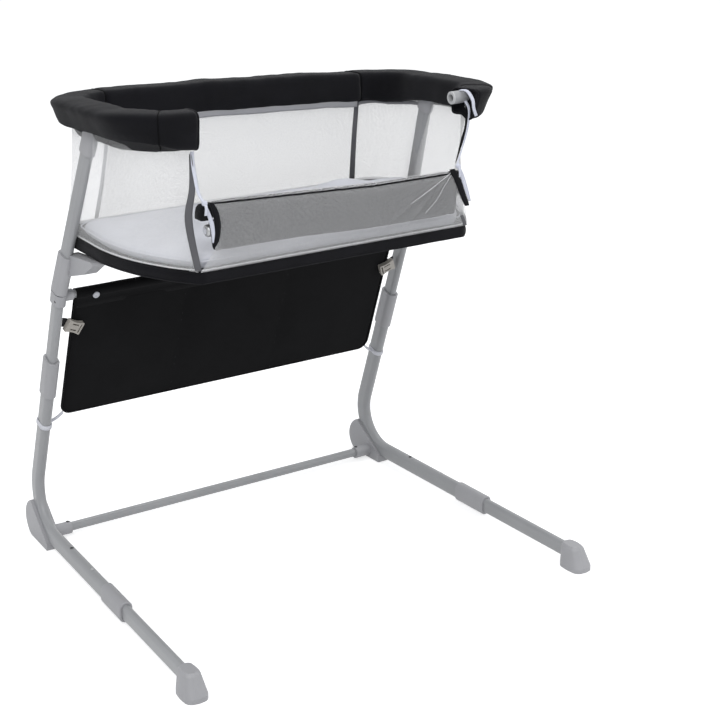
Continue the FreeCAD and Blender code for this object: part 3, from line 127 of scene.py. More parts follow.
LEAN = radians(17.4)
LEG_HALF = 0.396
TUBE_LEVEL = 0.027
HANGER_AT = 0.541
BAG_HALF = 0.363
BAG_LOW = 0.256
BAG_HEM = 0.515
BAG_CORNER = 0.022
BAG_SEAMS = (-0.363, -0.123, 0.114, 0.363)
STUD_CLIMB = 0.537
TIE_CLIMB = 0.236
WEBBING_CLIMB = 0.4725

CARRIAGE = "carriage"
SIDES = {"left": -1, "right": 1}
UPRIGHT = Vector((0, 0, 1))
BAG_UP = Vector((0, -sin(LEAN), cos(LEAN)))
BAG_BACK = Vector((0, cos(LEAN), sin(LEAN)))


def at(x, depth, z):
    """A point of the row frame from its distance in front of the heel line."""
    return Vector((x, HEEL - depth, z))


def rim_point(x, y, z=0.0):
    """A point of the rim's tilted plane; y is negative towards the front."""
    return at(0, RIM_REAR, RIM_LEVEL) + Matrix.Rotation(-RIM_TILT, 3, "X") @ Vector((x, y, z))


def bag_point(x, climb, rear=0.0):
    """A point of the plane the two uprights lean in."""
    return at(x, 0, TUBE_LEVEL) + BAG_UP * climb + BAG_BACK * rear


def shares(steps):
    return [index / steps for index in range(steps + 1)]


def squared(value, power):
    """A sine or cosine bent towards a squarer outline."""
    return copysign(abs(value) ** power, value)


def smooth_step(value, start, finish):
    share = min(1.0, max(0.0, (value - start) / (finish - start)))
    return share * share * (3 - 2 * share)


def ripple(x, y, z, depth):
    return depth * noise.noise(Vector((x, y, z)))


# ---------------- materials


def feed(tree, made, inputs):
    """Sets a node's inputs; one that is given another node's output is linked to it."""
    for socket, value in inputs.items():
        if isinstance(value, bpy.types.NodeSocket):
            tree.links.new(value, made.inputs[socket])
        else:
            made.inputs[socket].default_value = value


def node(tree, kind, inputs, **values):
    made = tree.nodes.new("ShaderNode" + kind)
    for name, value in values.items():
        setattr(made, name, value)
    feed(tree, made, inputs)
    return made.outputs


def seen_rays(tree):
    """1 for what the camera sees, also by way of gloss or glass."""
    rays = node(tree, "LightPath", {})
    seen = rays["Is Camera Ray"]
    for kind in ("Is Glossy Ray", "Is Transmission Ray"):
        seen = node(tree, "Math", {0: seen, 1: rays[kind]}, operation="MAXIMUM")[0]
    return seen


def new_material(name, colour, roughness, inputs):
    made = bpy.data.materials.new(name)
    made.use_nodes = True
    shader = made.node_tree.nodes["Principled BSDF"]
    feed(made.node_tree, shader, {"Base Color": (*colour, 1), "Roughness": roughness, **inputs})
    return made, made.node_tree, shader


def vary_colour(tree, colour, scale, amount):
    """Soft lighter and darker patches over the base colour."""
    place = node(tree, "TexCoord", {})["Object"]
    cloud = node(tree, "TexNoise", {"Scale": scale, "Detail": 5, "Vector": place})["Fac"]
    ramp = tree.nodes.new("ShaderNodeValToRGB")
    for end, position, factor in ((0, 0.3, 1 - amount), (1, 0.7, 1 + amount)):
        ramp.color_ramp.elements[end].position = position
        ramp.color_ramp.elements[end].color = (*(min(1, channel * factor) for channel in colour), 1)
    feed(tree, ramp, {"Fac": cloud})
    return ramp.outputs["Color"]


def weave_height(tree, pitch, coordinate):
    """Warp and weft threads from coordinates in metres, as a height between 0 and 1."""
    place = node(tree, "TexCoord", {})[coordinate]
    inputs = {"Scale": 1 / (20 * pitch) * 2 * pi, "Distortion": 0.6, "Detail": 1, "Detail Scale": 2,
              "Vector": place}
    warp, weft = (node(tree, "TexWave", inputs, bands_direction=axis, wave_profile="SIN")["Fac"] for axis in "XY")
    return node(tree, "Math", {0: warp, 1: weft}, operation="MULTIPLY")[0]


def add_bump(tree, shader, height, strength, distance):
    bump = node(tree, "Bump", {"Strength": strength, "Distance": distance, "Height": height})
    feed(tree, shader, {"Normal": bump["Normal"]})


def woven(name, colour, thread, pitch, roughness=0.85, sheen=0.25, patches=0.18, bump=0.5, coordinate="UV"):
    """A woven cloth: threads a little lighter than the gaps between them."""
    made, tree, shader = new_material(name, colour, roughness, {
        "Sheen Weight": sheen, "Sheen Roughness": 0.5, "Specular IOR Level": 0.1})
    base = vary_colour(tree, colour, 14.0, patches)
    height = weave_height(tree, pitch, coordinate)
    cloth = node(tree, "Mix", {0: height, 6: base, 7: (*thread, 1)}, data_type="RGBA")[2]
    feed(tree, shader, {"Base Color": cloth})
    add_bump(tree, shader, height, bump, pitch * 0.3)
    return made


def moulded(name, colour, roughness, grain, bump, metallic=0.0):
    """Moulded or coated surfaces: fine grain and faint mottling."""
    made, tree, shader = new_material(name, colour, roughness, {"Metallic": metallic})
    place = node(tree, "TexCoord", {})["Object"]
    speck = node(tree, "TexNoise", {"Scale": grain, "Detail": 3, "Vector": place})["Fac"]
    add_bump(tree, shader, speck, bump, 0.0004)
    span = node(tree, "MapRange", {"To Min": roughness - 0.06, "To Max": roughness + 0.08, "Value": speck})
    feed(tree, shader, {"Base Color": vary_colour(tree, colour, 9.0, 0.05), "Roughness": span["Result"]})
    return made


NET_PITCH = 0.0021


def net(name, colour, open_share, thread, unfolds=False):
    """A fine knitted net: threads of cloth with clear holes between them.

    The pattern of a net that unfolds lies on the upright plane and isn't drawn out with its mesh.
    """
    made, tree, shader = new_material(name, colour, 0.8, {"Sheen Weight": 0.2})
    place = node(tree, "TexCoord", {})["Object" if unfolds else "UV"]
    turn = node(tree, "Mapping", {"Vector": place, "Rotation": (-pi / 2 if unfolds else 0, 0, 0)})
    cells = node(tree, "TexVoronoi", {"Scale": 1 / NET_PITCH, "Randomness": 0.7, "Vector": turn["Vector"]},
                 feature="DISTANCE_TO_EDGE", voronoi_dimensions="2D")
    holes = node(tree, "MapRange", {"From Min": thread[0], "From Max": thread[1], "To Min": 1.0,
                                    "To Max": 1 - open_share, "Value": cells["Distance"]})
    through = node(tree, "BsdfTranslucent", {"Color": (*colour, 1)})
    lit = node(tree, "MixShader", {0: 0.4, 1: shader.outputs[0], 2: through[0]})
    clear = node(tree, "BsdfTransparent", {})
    weave = node(tree, "MixShader", {0: holes["Result"], 1: clear[0], 2: lit[0]})
    feed(tree, tree.nodes["Material Output"], {"Surface": weave[0]})
    feed(tree, shader, {"Base Color": vary_colour(tree, colour, 6.0, 0.04)})
    return made


looks = {
    "black_fabric": woven("black_polyester", (0.004, 0.004, 0.0056), (0.012, 0.012, 0.0145), 0.0011,
                          sheen=0.08, patches=0.4),
    "bag_fabric": woven("bag_polyester", (0.005, 0.005, 0.0056), (0.0075, 0.0075, 0.0082), 0.0009, sheen=0.01),
    "mattress_fabric": woven("mattress_knit", (0.655, 0.665, 0.715), (0.58, 0.59, 0.64), 0.0016, 0.9, 0.4, 0.1,
                             coordinate="Object"),
    "elastic": woven("white_elastic", (0.78, 0.79, 0.84), (0.6, 0.6, 0.66), 0.0009, 0.7, 0.2, 0.08),
    "webbing": woven("black_webbing", (0.02, 0.02, 0.022), (0.05, 0.05, 0.052), 0.0018, bump=0.9),
    # Seam cord darker than the cloth and without sheen: painted shade of the groove at each seam.
    "seam_painted_shade": woven("shaded_groove_thread", (0.002, 0.002, 0.0026), (0.004, 0.004, 0.0046), 0.0012, sheen=0.0),
    "strip": woven("grey_tape", (0.12, 0.12, 0.13), (0.17, 0.17, 0.18), 0.0012, 0.8, 0.2, 0.1),
    "zip_tape": woven("white_tape", (0.66, 0.68, 0.78), (0.8, 0.82, 0.9), 0.001, 0.7, 0.2, 0.06),
    "grey_steel": moulded("grey_powder_coat", (0.35, 0.355, 0.365), 0.34, 900.0, 0.12),
    "grey_plastic": moulded("grey_moulding", (0.39, 0.39, 0.405), 0.45, 1400.0, 0.25),
    "socket_plastic": moulded("pale_moulding", (0.5, 0.505, 0.51), 0.4, 1400.0, 0.15),
    "plug_metal": moulded("cast_metal", (0.42, 0.425, 0.43), 0.38, 700.0, 0.2, 0.85),
    "spring_steel": moulded("spring_strip", (0.45, 0.45, 0.46), 0.3, 500.0, 0.1, 0.85),
    "buckle_plastic": moulded("warm_grey_buckle", (0.4, 0.375, 0.34), 0.32, 1200.0, 0.1),
    "board": moulded("black_board", (0.03, 0.03, 0.032), 0.7, 300.0, 0.3),
    "stud_metal": moulded("stud_enamel", (0.62, 0.63, 0.68), 0.25, 300.0, 0.05),
    "dark_plastic": moulded("black_moulding", (0.02, 0.02, 0.022), 0.4, 900.0, 0.15),
    "mesh": net("pale_net", (0.84, 0.84, 0.85), 0.9, (0.09, 0.17), unfolds=True),
    # One pale net in two more copies: a lighter one with painted light for the left wall, and a darker one with
    # painted shade for the right and rear walls.
    "net_painted_light": net("net_with_painted_light", (0.93, 0.93, 0.93), 0.93, (0.07, 0.12)),
    "net_painted_shade": net("net_with_painted_shade", (0.63, 0.63, 0.63), 0.8, (0.09, 0.2)),
    "fold_mesh": net("folded_net", (0.84, 0.84, 0.86), 0.7, (0.1, 0.2)),
    "pale_seam": woven("pale_seam", (0.86, 0.86, 0.87), (0.92, 0.92, 0.93), 0.001, 0.8, 0.2, 0.05),
    "mesh_binding": woven("pale_binding", (0.36, 0.36, 0.38), (0.44, 0.44, 0.46), 0.001, 0.8, 0.2, 0.05),
}

# ---------------- mesh helpers


def scene_object(name, data):
    made = bpy.data.objects.new(name, data)
    bpy.context.scene.collection.objects.link(made)
    return made


def piece(name, points, faces, look="black_fabric", body=CARRIAGE, uv=None):
    """A mesh object with a finish and the body it rides on."""
    mesh = bpy.data.meshes.new(name)
    mesh.from_pydata([tuple(p) for p in points], [], faces)
    mesh.validate()
    made = scene_object(name, mesh)
    mesh.polygons.foreach_set("use_smooth", [True] * len(mesh.polygons))
    if uv:
        layer = mesh.uv_layers.new(name="cloth")
        for loop, vertex in enumerate(mesh.loops):
            layer.data[loop].uv = uv[vertex.vertex_index]
    mesh.materials.append(looks[look])
    if body:
        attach(made, body)
    return made


def grid_faces(rows, columns, wrap_rows=False, wrap_columns=False, flip=False):
    """Quads over a grid of rows x columns points."""
    faces = []
    for i in range(rows if wrap_rows else rows - 1):
        for j in range(columns if wrap_columns else columns - 1):
            this, after = i * columns, (i + 1) % rows * columns
            beside = (j + 1) % columns
            face = (this + j, this + beside, after + beside, after + j)
            faces.append(face[::-1] if flip else face)
    return faces


def closed_faces(rows, columns, flip=False, flip_ends=False):
    """Quads round a tube of rows x columns points, and a face over each end."""
    first, last = tuple(range(columns)), tuple(range((rows - 1) * columns, rows * columns))
    ends = [first[::-1], last] if flip_ends else [first, last[::-1]]
    return grid_faces(rows, columns, wrap_columns=True, flip=flip) + ends


def apply_modifiers(made):
    bpy.context.view_layer.update()
    graph = bpy.context.evaluated_depsgraph_get()
    mesh = bpy.data.meshes.new_from_object(made.evaluated_get(graph))
    made.modifiers.clear()
    made.data = mesh


def thicken(made, thickness):
    """Gives a sheet its thickness for good."""
    solid = made.modifiers.new("thickness", "SOLIDIFY")
    solid.thickness = thickness
    solid.offset = 0.0
    apply_modifiers(made)
    return made


def line(a, b):
    return lambda t: (a[0] + (b[0] - a[0]) * t, a[1] + (b[1] - a[1]) * t), dist(a, b)


def arc(x, y, radius, start, end):
    turn = radians(end - start)

    def point(t):
        angle = radians(start) + turn * t
        return x + radius * cos(angle), y + radius * sin(angle)

    return point, abs(turn) * radius


def walk(run, step):
    """Even points along a run of lines and arcs, with the length walked so far."""
    points = []
    walked = 0.0
    for place, length in run:
        count = max(1, round(length / step))
        points += [(*place(index / count), walked + length * index / count) for index in range(count)]
        walked += length
    return points + [(*run[-1][0](1.0), walked)]


def mirrored(side, run):
    def flipped(place):
        return lambda t: (side * place(t)[0], place(t)[1])

    return [(flipped(place), length) for place, length in run]


def find_share(lengths, share):
    """The part of a run, and the place on it, where a share of the whole length falls."""
    left = share * sum(lengths)
    for index, length in enumerate(lengths):
        if left <= length or index == len(lengths) - 1:
            return index, min(1.0, left / length)
        left -= length


def outward_of(ahead, behind, side=1):
    """The level direction to the outside of a run between two of its points."""
    along = Vector((ahead[0] - behind[0], ahead[1] - behind[1])).normalized()
    return Vector((along.y, -along.x)) * side


def rim_run(start, finish, inset=0.0):
    """One end of the rim from the front return round to the rear rail, in the rim's plane."""
    edge = RIM_HALF - inset
    front = -RIM_DEEP + inset
    past = max(0.0, start - RIM_STRAIGHT)
    first = -90 + degrees(asin(past / (RIM_CORNER - inset)))
    ahead = [] if past else [line((start, front), (RIM_STRAIGHT, front))]
    return ahead + [
        arc(RIM_STRAIGHT, -RIM_DEEP + RIM_CORNER, RIM_CORNER - inset, first, 0),
        line((edge, -RIM_DEEP + RIM_CORNER), (edge, -RIM_CORNER)),
        arc(RIM_STRAIGHT, -RIM_CORNER, RIM_CORNER - inset, 0, 90),
        line((RIM_STRAIGHT, -inset), (finish, -inset)),
    ]


def floor_run(finish, inset=0.0):
    """One end of the floor outline from the front seam to the rear edge; y is minus the depth."""
    start = degrees(asin((FLOOR_SHOULDER - FLOOR_FRONT + inset) / (FLOOR_SWEEP - inset)))
    corner_x = FLOOR_HALF - FLOOR_CORNER
    corner_y = -FLOOR_REAR - FLOOR_CORNER
    rear = -FLOOR_REAR - inset
    return [
        arc(FLOOR_HALF - FLOOR_SWEEP, -FLOOR_SHOULDER, FLOOR_SWEEP - inset, start, 0),
        line((FLOOR_HALF - inset, -FLOOR_SHOULDER), (FLOOR_HALF - inset, corner_y)),
        arc(corner_x, corner_y, FLOOR_CORNER - inset, 0, 90),
        line((corner_x, rear), (finish, rear)),
    ]


def floor_loop(step, inset=0.0):
    """The whole floor outline as one loop of points."""
    right = walk(floor_run(0, inset), step)
    left = [(-x, y, walked) for x, y, walked in right]
    front = walk([line(left[0][:2], right[0][:2])], step)
    return front[:-1] + right + left[::-1][1:-1]


def floor_line(step, inset, level):
    return [at(x, -y, level) for x, y, _ in floor_loop(step, inset)]


def tube_along(name, points, radius, look="black_fabric", body=CARRIAGE, sides=10, closed=False):
    """A round cord or piping along points, its ends closed."""
    count = len(points)
    rings, uv = [], []
    walked = 0.0
    for index, point in enumerate(points):
        ahead = points[(index + 1) % count] if closed or index + 1 < count else point
        behind = points[index - 1] if closed or index else point
        along = (ahead - behind).normalized()
        across = along.cross(UPRIGHT)
        if across.length < 0.2:
            across = along.cross(Vector((1, 0, 0)))
        across.normalize()
        up = across.cross(along)
        walked += (point - behind).length if index else 0.0
        for k in range(sides):
            angle = 2 * pi * k / sides
            rings.append(point + (across * cos(angle) + up * sin(angle)) * radius)
            uv.append((walked, radius * angle))
    faces = grid_faces(count, sides, True, True) if closed else closed_faces(count, sides)
    return piece(name, rings, faces, look, body, uv)


def spline_points(corners, steps):
    """A smooth open curve through a few corner points."""
    points = []
    last = len(corners) - 1
    for index in range(last):
        p0, p1 = corners[max(index - 1, 0)], corners[index]
        p2, p3 = corners[index + 1], corners[min(index + 2, last)]
        for t in shares(steps)[:-1]:
            points.append(0.5 * ((2 * p1) + (p2 - p0) * t + (2 * p0 - 5 * p1 + 4 * p2 - p3) * t * t
                                 + (3 * p1 - p0 - 3 * p2 + p3) * t ** 3))
    return points + [corners[-1]]


def ribbon(name, centre, across, width, look, body=CARRIAGE, thick=0.0012):
    """A flat tape along centre points, its width along one direction; several widths taper it."""
    widths = width if isinstance(width, tuple) else (width, width)
    across = Vector(across).normalized()
    points, uv = [], []
    walked = 0.0
    for index, point in enumerate(centre):
        walked += (point - centre[index - 1]).length if index else 0.0
        share = index / (len(centre) - 1) * (len(widths) - 1)
        step = min(int(share), len(widths) - 2)
        wide = widths[step] + (widths[step + 1] - widths[step]) * (share - step)
        for share in (-0.5, -0.17, 0.17, 0.5):
            points.append(point + across * wide * share)
            uv.append((walked, wide * share))
    return thicken(piece(name, points, grid_faces(len(centre), 4), look, body, uv), thick)


def turned(name, place, axis, profile, look, body=CARRIAGE, sides=28):
    """A small turned piece: profile is (radius, height) pairs from the foot to the top."""
    turn = Vector(axis).to_track_quat("Z", "Y").to_matrix()
    points = []
    for radius, height in profile:
        for k in range(sides):
            angle = 2 * pi * k / sides
            points.append(place + turn @ Vector((radius * cos(angle), radius * sin(angle), height)))
    return piece(name, points, closed_faces(len(profile), sides, flip_ends=True), look, body)


# ---------------- padded rim cover

SECTION_POINTS = 44


def section_point(index, width, height, power=5.0):
    """A point of a softly squared section."""
    angle = 2 * pi * index / SECTION_POINTS
    return squared(cos(angle), 2 / power) * width / 2, squared(sin(angle), 2 / power) * height / 2


def cover_point(index, width, height, flare, lift, inner_lift):
    """A point of the rim cover's section: flared towards its top outside, its hems lifted."""
    across, high = section_point(index, width, height)
    share = high / height + 0.5
    outer = max(0.0, across / (width / 2))
    across += outer * (COVER_SKIRT + flare * share ** 1.6)
    high -= outer ** 2 * share * 0.001
    if high < 0:
        high += (lift if across > 0 else inner_lift) * (1 - share * 2) ** 2
    return across, high


def cover_sag(x, y=0.0):
    """How far the padding hangs below the rim tube's centre: more towards the right."""
    for (first, low), (second, high) in zip(COVER_SAG, COVER_SAG[1:]):
        if x <= second:
            sag = low + (high - low) * smooth_step(x, first, second)
            break
    near = smooth_step(-y, 0.02, 0.1)
    return sag + (0.003 * near if x < 0 else 0.002 * (smooth_step(-y, 0, 0.03) - near))


def cover_height(x, y):
    """The padding is higher at the ends than along the rear, first of all at the right."""
    near = smooth_step(-y, 0.02, 0.1)
    if x < 0:
        return REAR_HEIGHT + (COVER_HEIGHT[-1] - REAR_HEIGHT) * near
    return REAR_HEIGHT + 0.004 * smooth_step(-y, 0, 0.03) + (COVER_HEIGHT[1] - REAR_HEIGHT - 0.004) * near


def sleeve_ring(place, outward, size, seed, wrinkle):
    """One ring of the padded sleeve about a point of the rim's centreline."""
    x, y = place
    *section, scale = size
    ring = []
    for index in range(SECTION_POINTS):
        across, high = cover_point(index, *section)
        fold = ripple(x * 16 + seed, y * 16, high * 30, 1) + ripple(x * 55, y * 55 + seed, high * 60, 0.35)
        swell = scale * (1 + fold * wrinkle / (section[0] / 2))
        ring.append(rim_point(x + outward.x * across * swell, y + outward.y * across * swell,
                              high * swell - cover_sag(x, y)))
    return ring


def soft_sleeve(name, run, seams, seed, shape, side=0):
    """A padded sleeve on the rim tube with seam grooves; a side's own sleeve has a closed, turned-in hem.

    The shape gives the section's flare and hem lifts from the length walked.
    """
    samples = walk(run, COVER_STEP)
    rings, uv = [], []

    def add(sample, ahead, behind, walked, pinch, scale, wrinkle):
        size = COVER_WIDTH - pinch, cover_height(*sample[:2]) - pinch, *shape(max(0.0, walked)), scale
        ring = sleeve_ring(sample[:2], outward_of(ahead, behind, side or 1), size, seed, wrinkle)
        around = 0.0
        for index, point in enumerate(ring):
            around += (point - ring[index - 1]).length if index else 0.0
            uv.append((walked, around))
        rings.extend(ring)

    grooves = [(seam, 0.004, 0.0035) for seam in (*seams, samples[-1][2])]
    grooves += [(0.0, 0.006, 0.0015), (0.014, 0.003, 0.0016)] if side else [(0.0, 0.004, 0.0035)]
    if side:
        first, second = samples[:2]
        inward = Vector((second[0] - first[0], second[1] - first[1])).normalized()
        for step, scale in ((0.01, 0.36), (0.0085, 0.55), (0.004, 0.82), (0.0008, 0.93)):
            spot = (first[0] + inward.x * step, first[1] + inward.y * step)
            add(spot, second, first, step - 0.02, 0.0, scale, 0.0)
    for index, sample in enumerate(samples):
        ahead, behind = samples[min(index + 1, len(samples) - 1)], samples[max(index - 1, 0)]
        pinch = sum(deep * exp(-((sample[2] - spot) / wide) ** 2) for spot, wide, deep in grooves)
        add(sample, ahead, behind, sample[2], pinch, 1.0, WRINKLE)
    faces = closed_faces(len(rings) // SECTION_POINTS, SECTION_POINTS, flip_ends=True)
    made = piece(name, rings, faces, uv=uv)
    return made


def end_shape(side):
    """Flare and hem lifts round one end: little at the return, most at the corners."""

    def shape(walked):
        flare = COVER_FLARE * (0.25 + 0.75 * smooth_step(walked, *FLARE_RISE[side]))
        lift = HEM_LIFT[side] * smooth_step(walked, *HEM_RISE) * (1 - 0.65 * smooth_step(walked, 0.3, 0.42))
        return flare, lift, INNER_LIFT[side] * (1 - smooth_step(walked, 0.2, 0.3))

    return shape


rear = soft_sleeve("rim_cover_rear", [line((RIM_STRAIGHT, 0), (-RIM_STRAIGHT, 0))], (), 3.0,
                   lambda walked: (COVER_FLARE * 0.9, 0.0, 0.0))
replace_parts(rear, "cover_rear")
for name, side in SIDES.items():
    shape, seed = end_shape(side), 7.0 + side
    run = mirrored(side, rim_run(COVER_RETURN[side], RIM_STRAIGHT + 0.0005)[:-1])
    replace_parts(soft_sleeve("rim_cover_" + name, run, COVER_SEAMS, seed, shape, side), "cover_" + name)
    first, second = [Vector(sample[:2]) for sample in walk(run, COVER_STEP)[:2]]
    mouth = sleeve_ring(first - (second - first).normalized() * 0.0005, outward_of(second, first, side),
                        (COVER_WIDTH, COVER_HEIGHT[side], *shape(0.0), 0.95), seed, 0.0)
    tube_along("rim_piping_" + name, mouth, 0.002, closed=True)
    samples = walk(run, 0.002)
    for number, seam in enumerate(COVER_SEAMS):
        near = min(range(1, len(samples) - 1), key=lambda index: abs(samples[index][2] - seam))
        place = samples[near][:2]
        size = (COVER_WIDTH - 0.002, cover_height(*place) - 0.002, *shape(seam), 1.0)
        ring = sleeve_ring(place, outward_of(samples[near + 1], place, side), size, seed, WRINKLE)
        # The seam cords carry painted shade, darker than the cloth, for the groove at each seam.
        tube_along("rim_seam_%s_%d" % (name, number + 1), ring, 0.0011, "seam_painted_shade", closed=True, sides=8)

# ---------------- net walls and their bindings

WALL_EDGE = {
    -1: [(0.29, 0.503, 0.667), (0.2945, 0.48, 0.753), (0.2815, 0.47, 0.807), (0.277, 0.455, 0.866)],
    1: [(0.289, 0.503, 0.667), (0.272, 0.502, 0.694), (0.262, 0.499, 0.74), (0.2595, 0.499, 0.79),
        (0.2815, 0.479, 0.805), (0.301, 0.464, 0.826), (0.3145, 0.456, 0.849), (0.3145, 0.455, 0.885)],
}


def inward(point):
    """The level direction from a point towards the middle of the crib."""
    return Vector((-point.x, at(0, WALL_MIDDLE, 0).y - point.y, 0)).normalized()


def wall_points(side, share):
    """Points up one net wall at a share of the way round its end, from band to rim."""
    foot_run = mirrored(side, floor_run(SEAM_LOW))
    spread = smooth_step(share, 0.15, 0.45) * (1 - smooth_step(share, 0.88, 1.0))
    head_run = mirrored(side, rim_run(WALL_HEAD[side], SEAM_HIGH, WALL_INSET - WALL_SPREAD * spread)[-4:])
    lengths = [length for _, length in foot_run]
    index, t = find_share(lengths, share)
    foot, head = foot_run[index][0](t), head_run[index][0](t)
    return at(foot[0], -foot[1], BAND_HIGH - 0.004), rim_point(*head, -WALL_DROP + WALL_TUCK), share * sum(lengths)


def rear_wall_points(share):
    x = 2 * share - 1
    low = at(x * SEAM_LOW, FLOOR_REAR, BAND_HIGH - 0.004)
    return low, rim_point(x * SEAM_HIGH, -WALL_INSET, -WALL_DROP + WALL_TUCK), share * 2 * SEAM_LOW


def wall_edge(side):
    """Maps a height share to the wall's front edge, where the zips pull it."""
    line_up = spline_points([at(side * x, depth, z) for x, depth, z in WALL_EDGE[side]], 8)
    foot, head = line_up[0].z, line_up[-1].z

    def place(t):
        z = foot + (head - foot) * t
        for a, b in zip(line_up, line_up[1:]):
            if a.z <= z <= b.z:
                return a.lerp(b, (z - a.z) / max(1e-9, b.z - a.z))
        return line_up[-1]

    return place


def net_wall(name, columns, place, seed, look, edge=None):
    """A taut net between band and rim, pulled in a little at mid height with faint folds."""
    points, uv = [], []
    for share in shares(columns):
        low, high, walked = place(share)
        for t in shares(WALL_ROWS):
            point = low.lerp(high, t)
            fold = ripple(walked * 22 + seed, t * 1.5, seed, 0.0014)
            point += inward(point) * (sin(pi * t) * (WALL_DRAWN_IN + fold))
            if edge:
                point = point.lerp(edge(t), max(0.0, 1 - share / EDGE_REACH) ** 2)
            points.append(point)
            uv.append((walked, t * (high - low).length))
    wall = piece("net_" + name, points, grid_faces(columns + 1, WALL_ROWS + 1), look, uv=uv)
    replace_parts(wall, "mesh_" + name)


# The left wall's net carries painted light; the right and rear walls' nets carry painted shade.
for (name, side), look in zip(SIDES.items(), ("net_painted_light", "net_painted_shade")):
    net_wall(name, 96, lambda share: wall_points(side, share), 5.0 + side, look, wall_edge(side))
net_wall("rear", 80, rear_wall_points, 2.0, "net_painted_shade")

for name, widths, look in (("left", (0.008, 0.006), "pale_seam"), ("right", (0.013, 0.01), "strip")):
    low, high, _ = wall_points(SIDES[name], 1.0)
    centre = [low.lerp(high, t) + inward(low) * (sin(pi * t) * WALL_DRAWN_IN - 0.0008)
              for t in shares(14)]
    ribbon("rear_seam_" + name, centre, (1, 0, 0), widths, look)


def under_hem(share):
    """A point of the right net just below the padded cover's lower edge."""
    low, high, _ = wall_points(1, share)
    foot, head = (Matrix.Rotation(RIM_TILT, 3, "X") @ (end - at(0, RIM_REAR, RIM_LEVEL)) for end in (low, high))
    hem = -cover_height(head.x, head.y) / 2 - BINDING_DROP - cover_sag(head.x, head.y)
    place = low.lerp(high, (hem - foot.z) / (head.z - foot.z))
    return place + inward(place) * 0.0015


centre = []
for share in shares(80):
    x = BINDING_LEFT + (SEAM_HIGH - 0.004 - BINDING_LEFT) * share
    centre.append(rim_point(x, -WALL_INSET - 0.0012, -REAR_HEIGHT / 2 - BINDING_DROP - cover_sag(x)))
centre += [under_hem(1 - (1 - BINDING_END) * share) for share in shares(27)[1:]]
ribbon("rim_binding", centre, UPRIGHT, (0.012, 0.012, 0.012, 0.012, 0.007), "mesh_binding")

# ---------------- floor band and base cloth


def hem_profile():
    """Section of the band: a padded strip, rounded over at both hems."""
    middle, half = (BAND_LOW + BAND_HIGH) / 2, (BAND_HIGH - BAND_LOW) / 2
    angles = [2 * pi * index / 20 for index in range(20)]
    return [(squared(cos(angle), 0.6) * 0.0024, middle + squared(sin(angle), 0.5) * half)
            for angle in angles]


loop = floor_loop(0.008)
profile = hem_profile()
points, uv = [], []
walked = 0.0
for index, (x, y, _) in enumerate(loop):
    behind = loop[index - 1]
    outward = outward_of(loop[(index + 1) % len(loop)], behind)
    walked += dist((x, y), behind[:2]) if index else 0.0
    for k, (out, z) in enumerate(profile):
        out += ripple(x * 24, y * 24, z * 40, 0.0016)
        points.append(at(x + outward.x * out, -(y + outward.y * out), z))
        uv.append((walked, k * 0.003))
band = piece("floor_band_cloth", points, grid_faces(len(loop), len(profile), True, True), uv=uv)
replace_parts(band, "floor_band")

for level, name in ((BAND_HIGH - 0.0025, "upper"), (BAND_LOW + 0.003, "lower")):
    tube_along("band_piping_" + name, floor_line(0.008, -0.0022, level), 0.0013, closed=True, sides=8)

lining = floor_line(0.008, 0.0034, BAND_HIGH - 0.0055)
ribbon("band_lining", lining + lining[:1], UPRIGHT, 0.014, "pale_seam")

under = floor_loop(0.02, 0.003)
count, rings = len(under), 7
points = [at(0, FLOOR_MIDDLE, BAND_LOW - 0.0015)]
for share in shares(rings)[1:]:
    sag = 0.0015 * (1 - share ** 2)
    points += [at(x * share, FLOOR_MIDDLE + (-y - FLOOR_MIDDLE) * share, BAND_LOW - 0.0001 - sag)
               for x, y, _ in under]
uv = [(0, FLOOR_MIDDLE)] + [(point.x, point.y) for point in points[1:]]
faces = [(0, 1 + (k + 1) % count, 1 + k) for k in range(count)]
faces += [tuple(1 + corner for corner in face) for face in grid_faces(rings, count, wrap_columns=True)]
base_cloth = piece("base_cloth", points, faces, uv=uv)

# ---------------- mattress


def mattress_spot(x, y):
    """Draws the mattress outline's rear edge forwards, off the rear wall, a little more at the right."""
    rear = max(0.0, (y + FLOOR_MIDDLE) / 0.17)
    draw = REAR_DRAW + 0.018 * smooth_step(x, 0.1, 0.3)
    return Vector((x * (1 - 0.02 * rear ** 2), y - draw * rear ** 2))


def mattress_pad():
    """A flat foam mattress: crowned top, drawn-in sides and one lifted rear corner."""
    outline = floor_loop(0.011, MATTRESS_GAP)
    middle = Vector((0, -FLOOR_MIDDLE))
    inner = [0.04, 0.2, 0.4, 0.6, 0.78, 0.9, 0.96]
    angles = [pi * share for share in shares(9)]
    rows = [(share, 0.0, 0.0) for share in inner]
    rows += [(1.0, -0.009 * (1 - sin(angle)), (1 - cos(angle)) / 2) for angle in angles]
    rows += [(share, 0.0, 1.0) for share in reversed(inner)]
    points = []
    for share, draw, climb in rows:
        for x, y, _ in outline:
            spot = middle + (mattress_spot(x, y) - middle) * share
            if share == 1.0:
                spot += (spot - middle).normalized() * draw
            raised = exp(-(((spot.x - 0.215) / 0.05) ** 2 + ((spot.y + 0.185) / 0.05) ** 2)) * 0.013
            level = MATTRESS_LOW + (MATTRESS_HIGH - MATTRESS_LOW) * climb
            points.append(at(spot.x, -spot.y, level + (raised if climb > 0.5 else 0.0)))
    faces = closed_faces(len(rows), len(outline), flip=True)
    made = piece("mattress_pad", points, faces, "mattress_fabric", "mattress_body")
    inflate(made)
    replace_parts(made, "mattress")


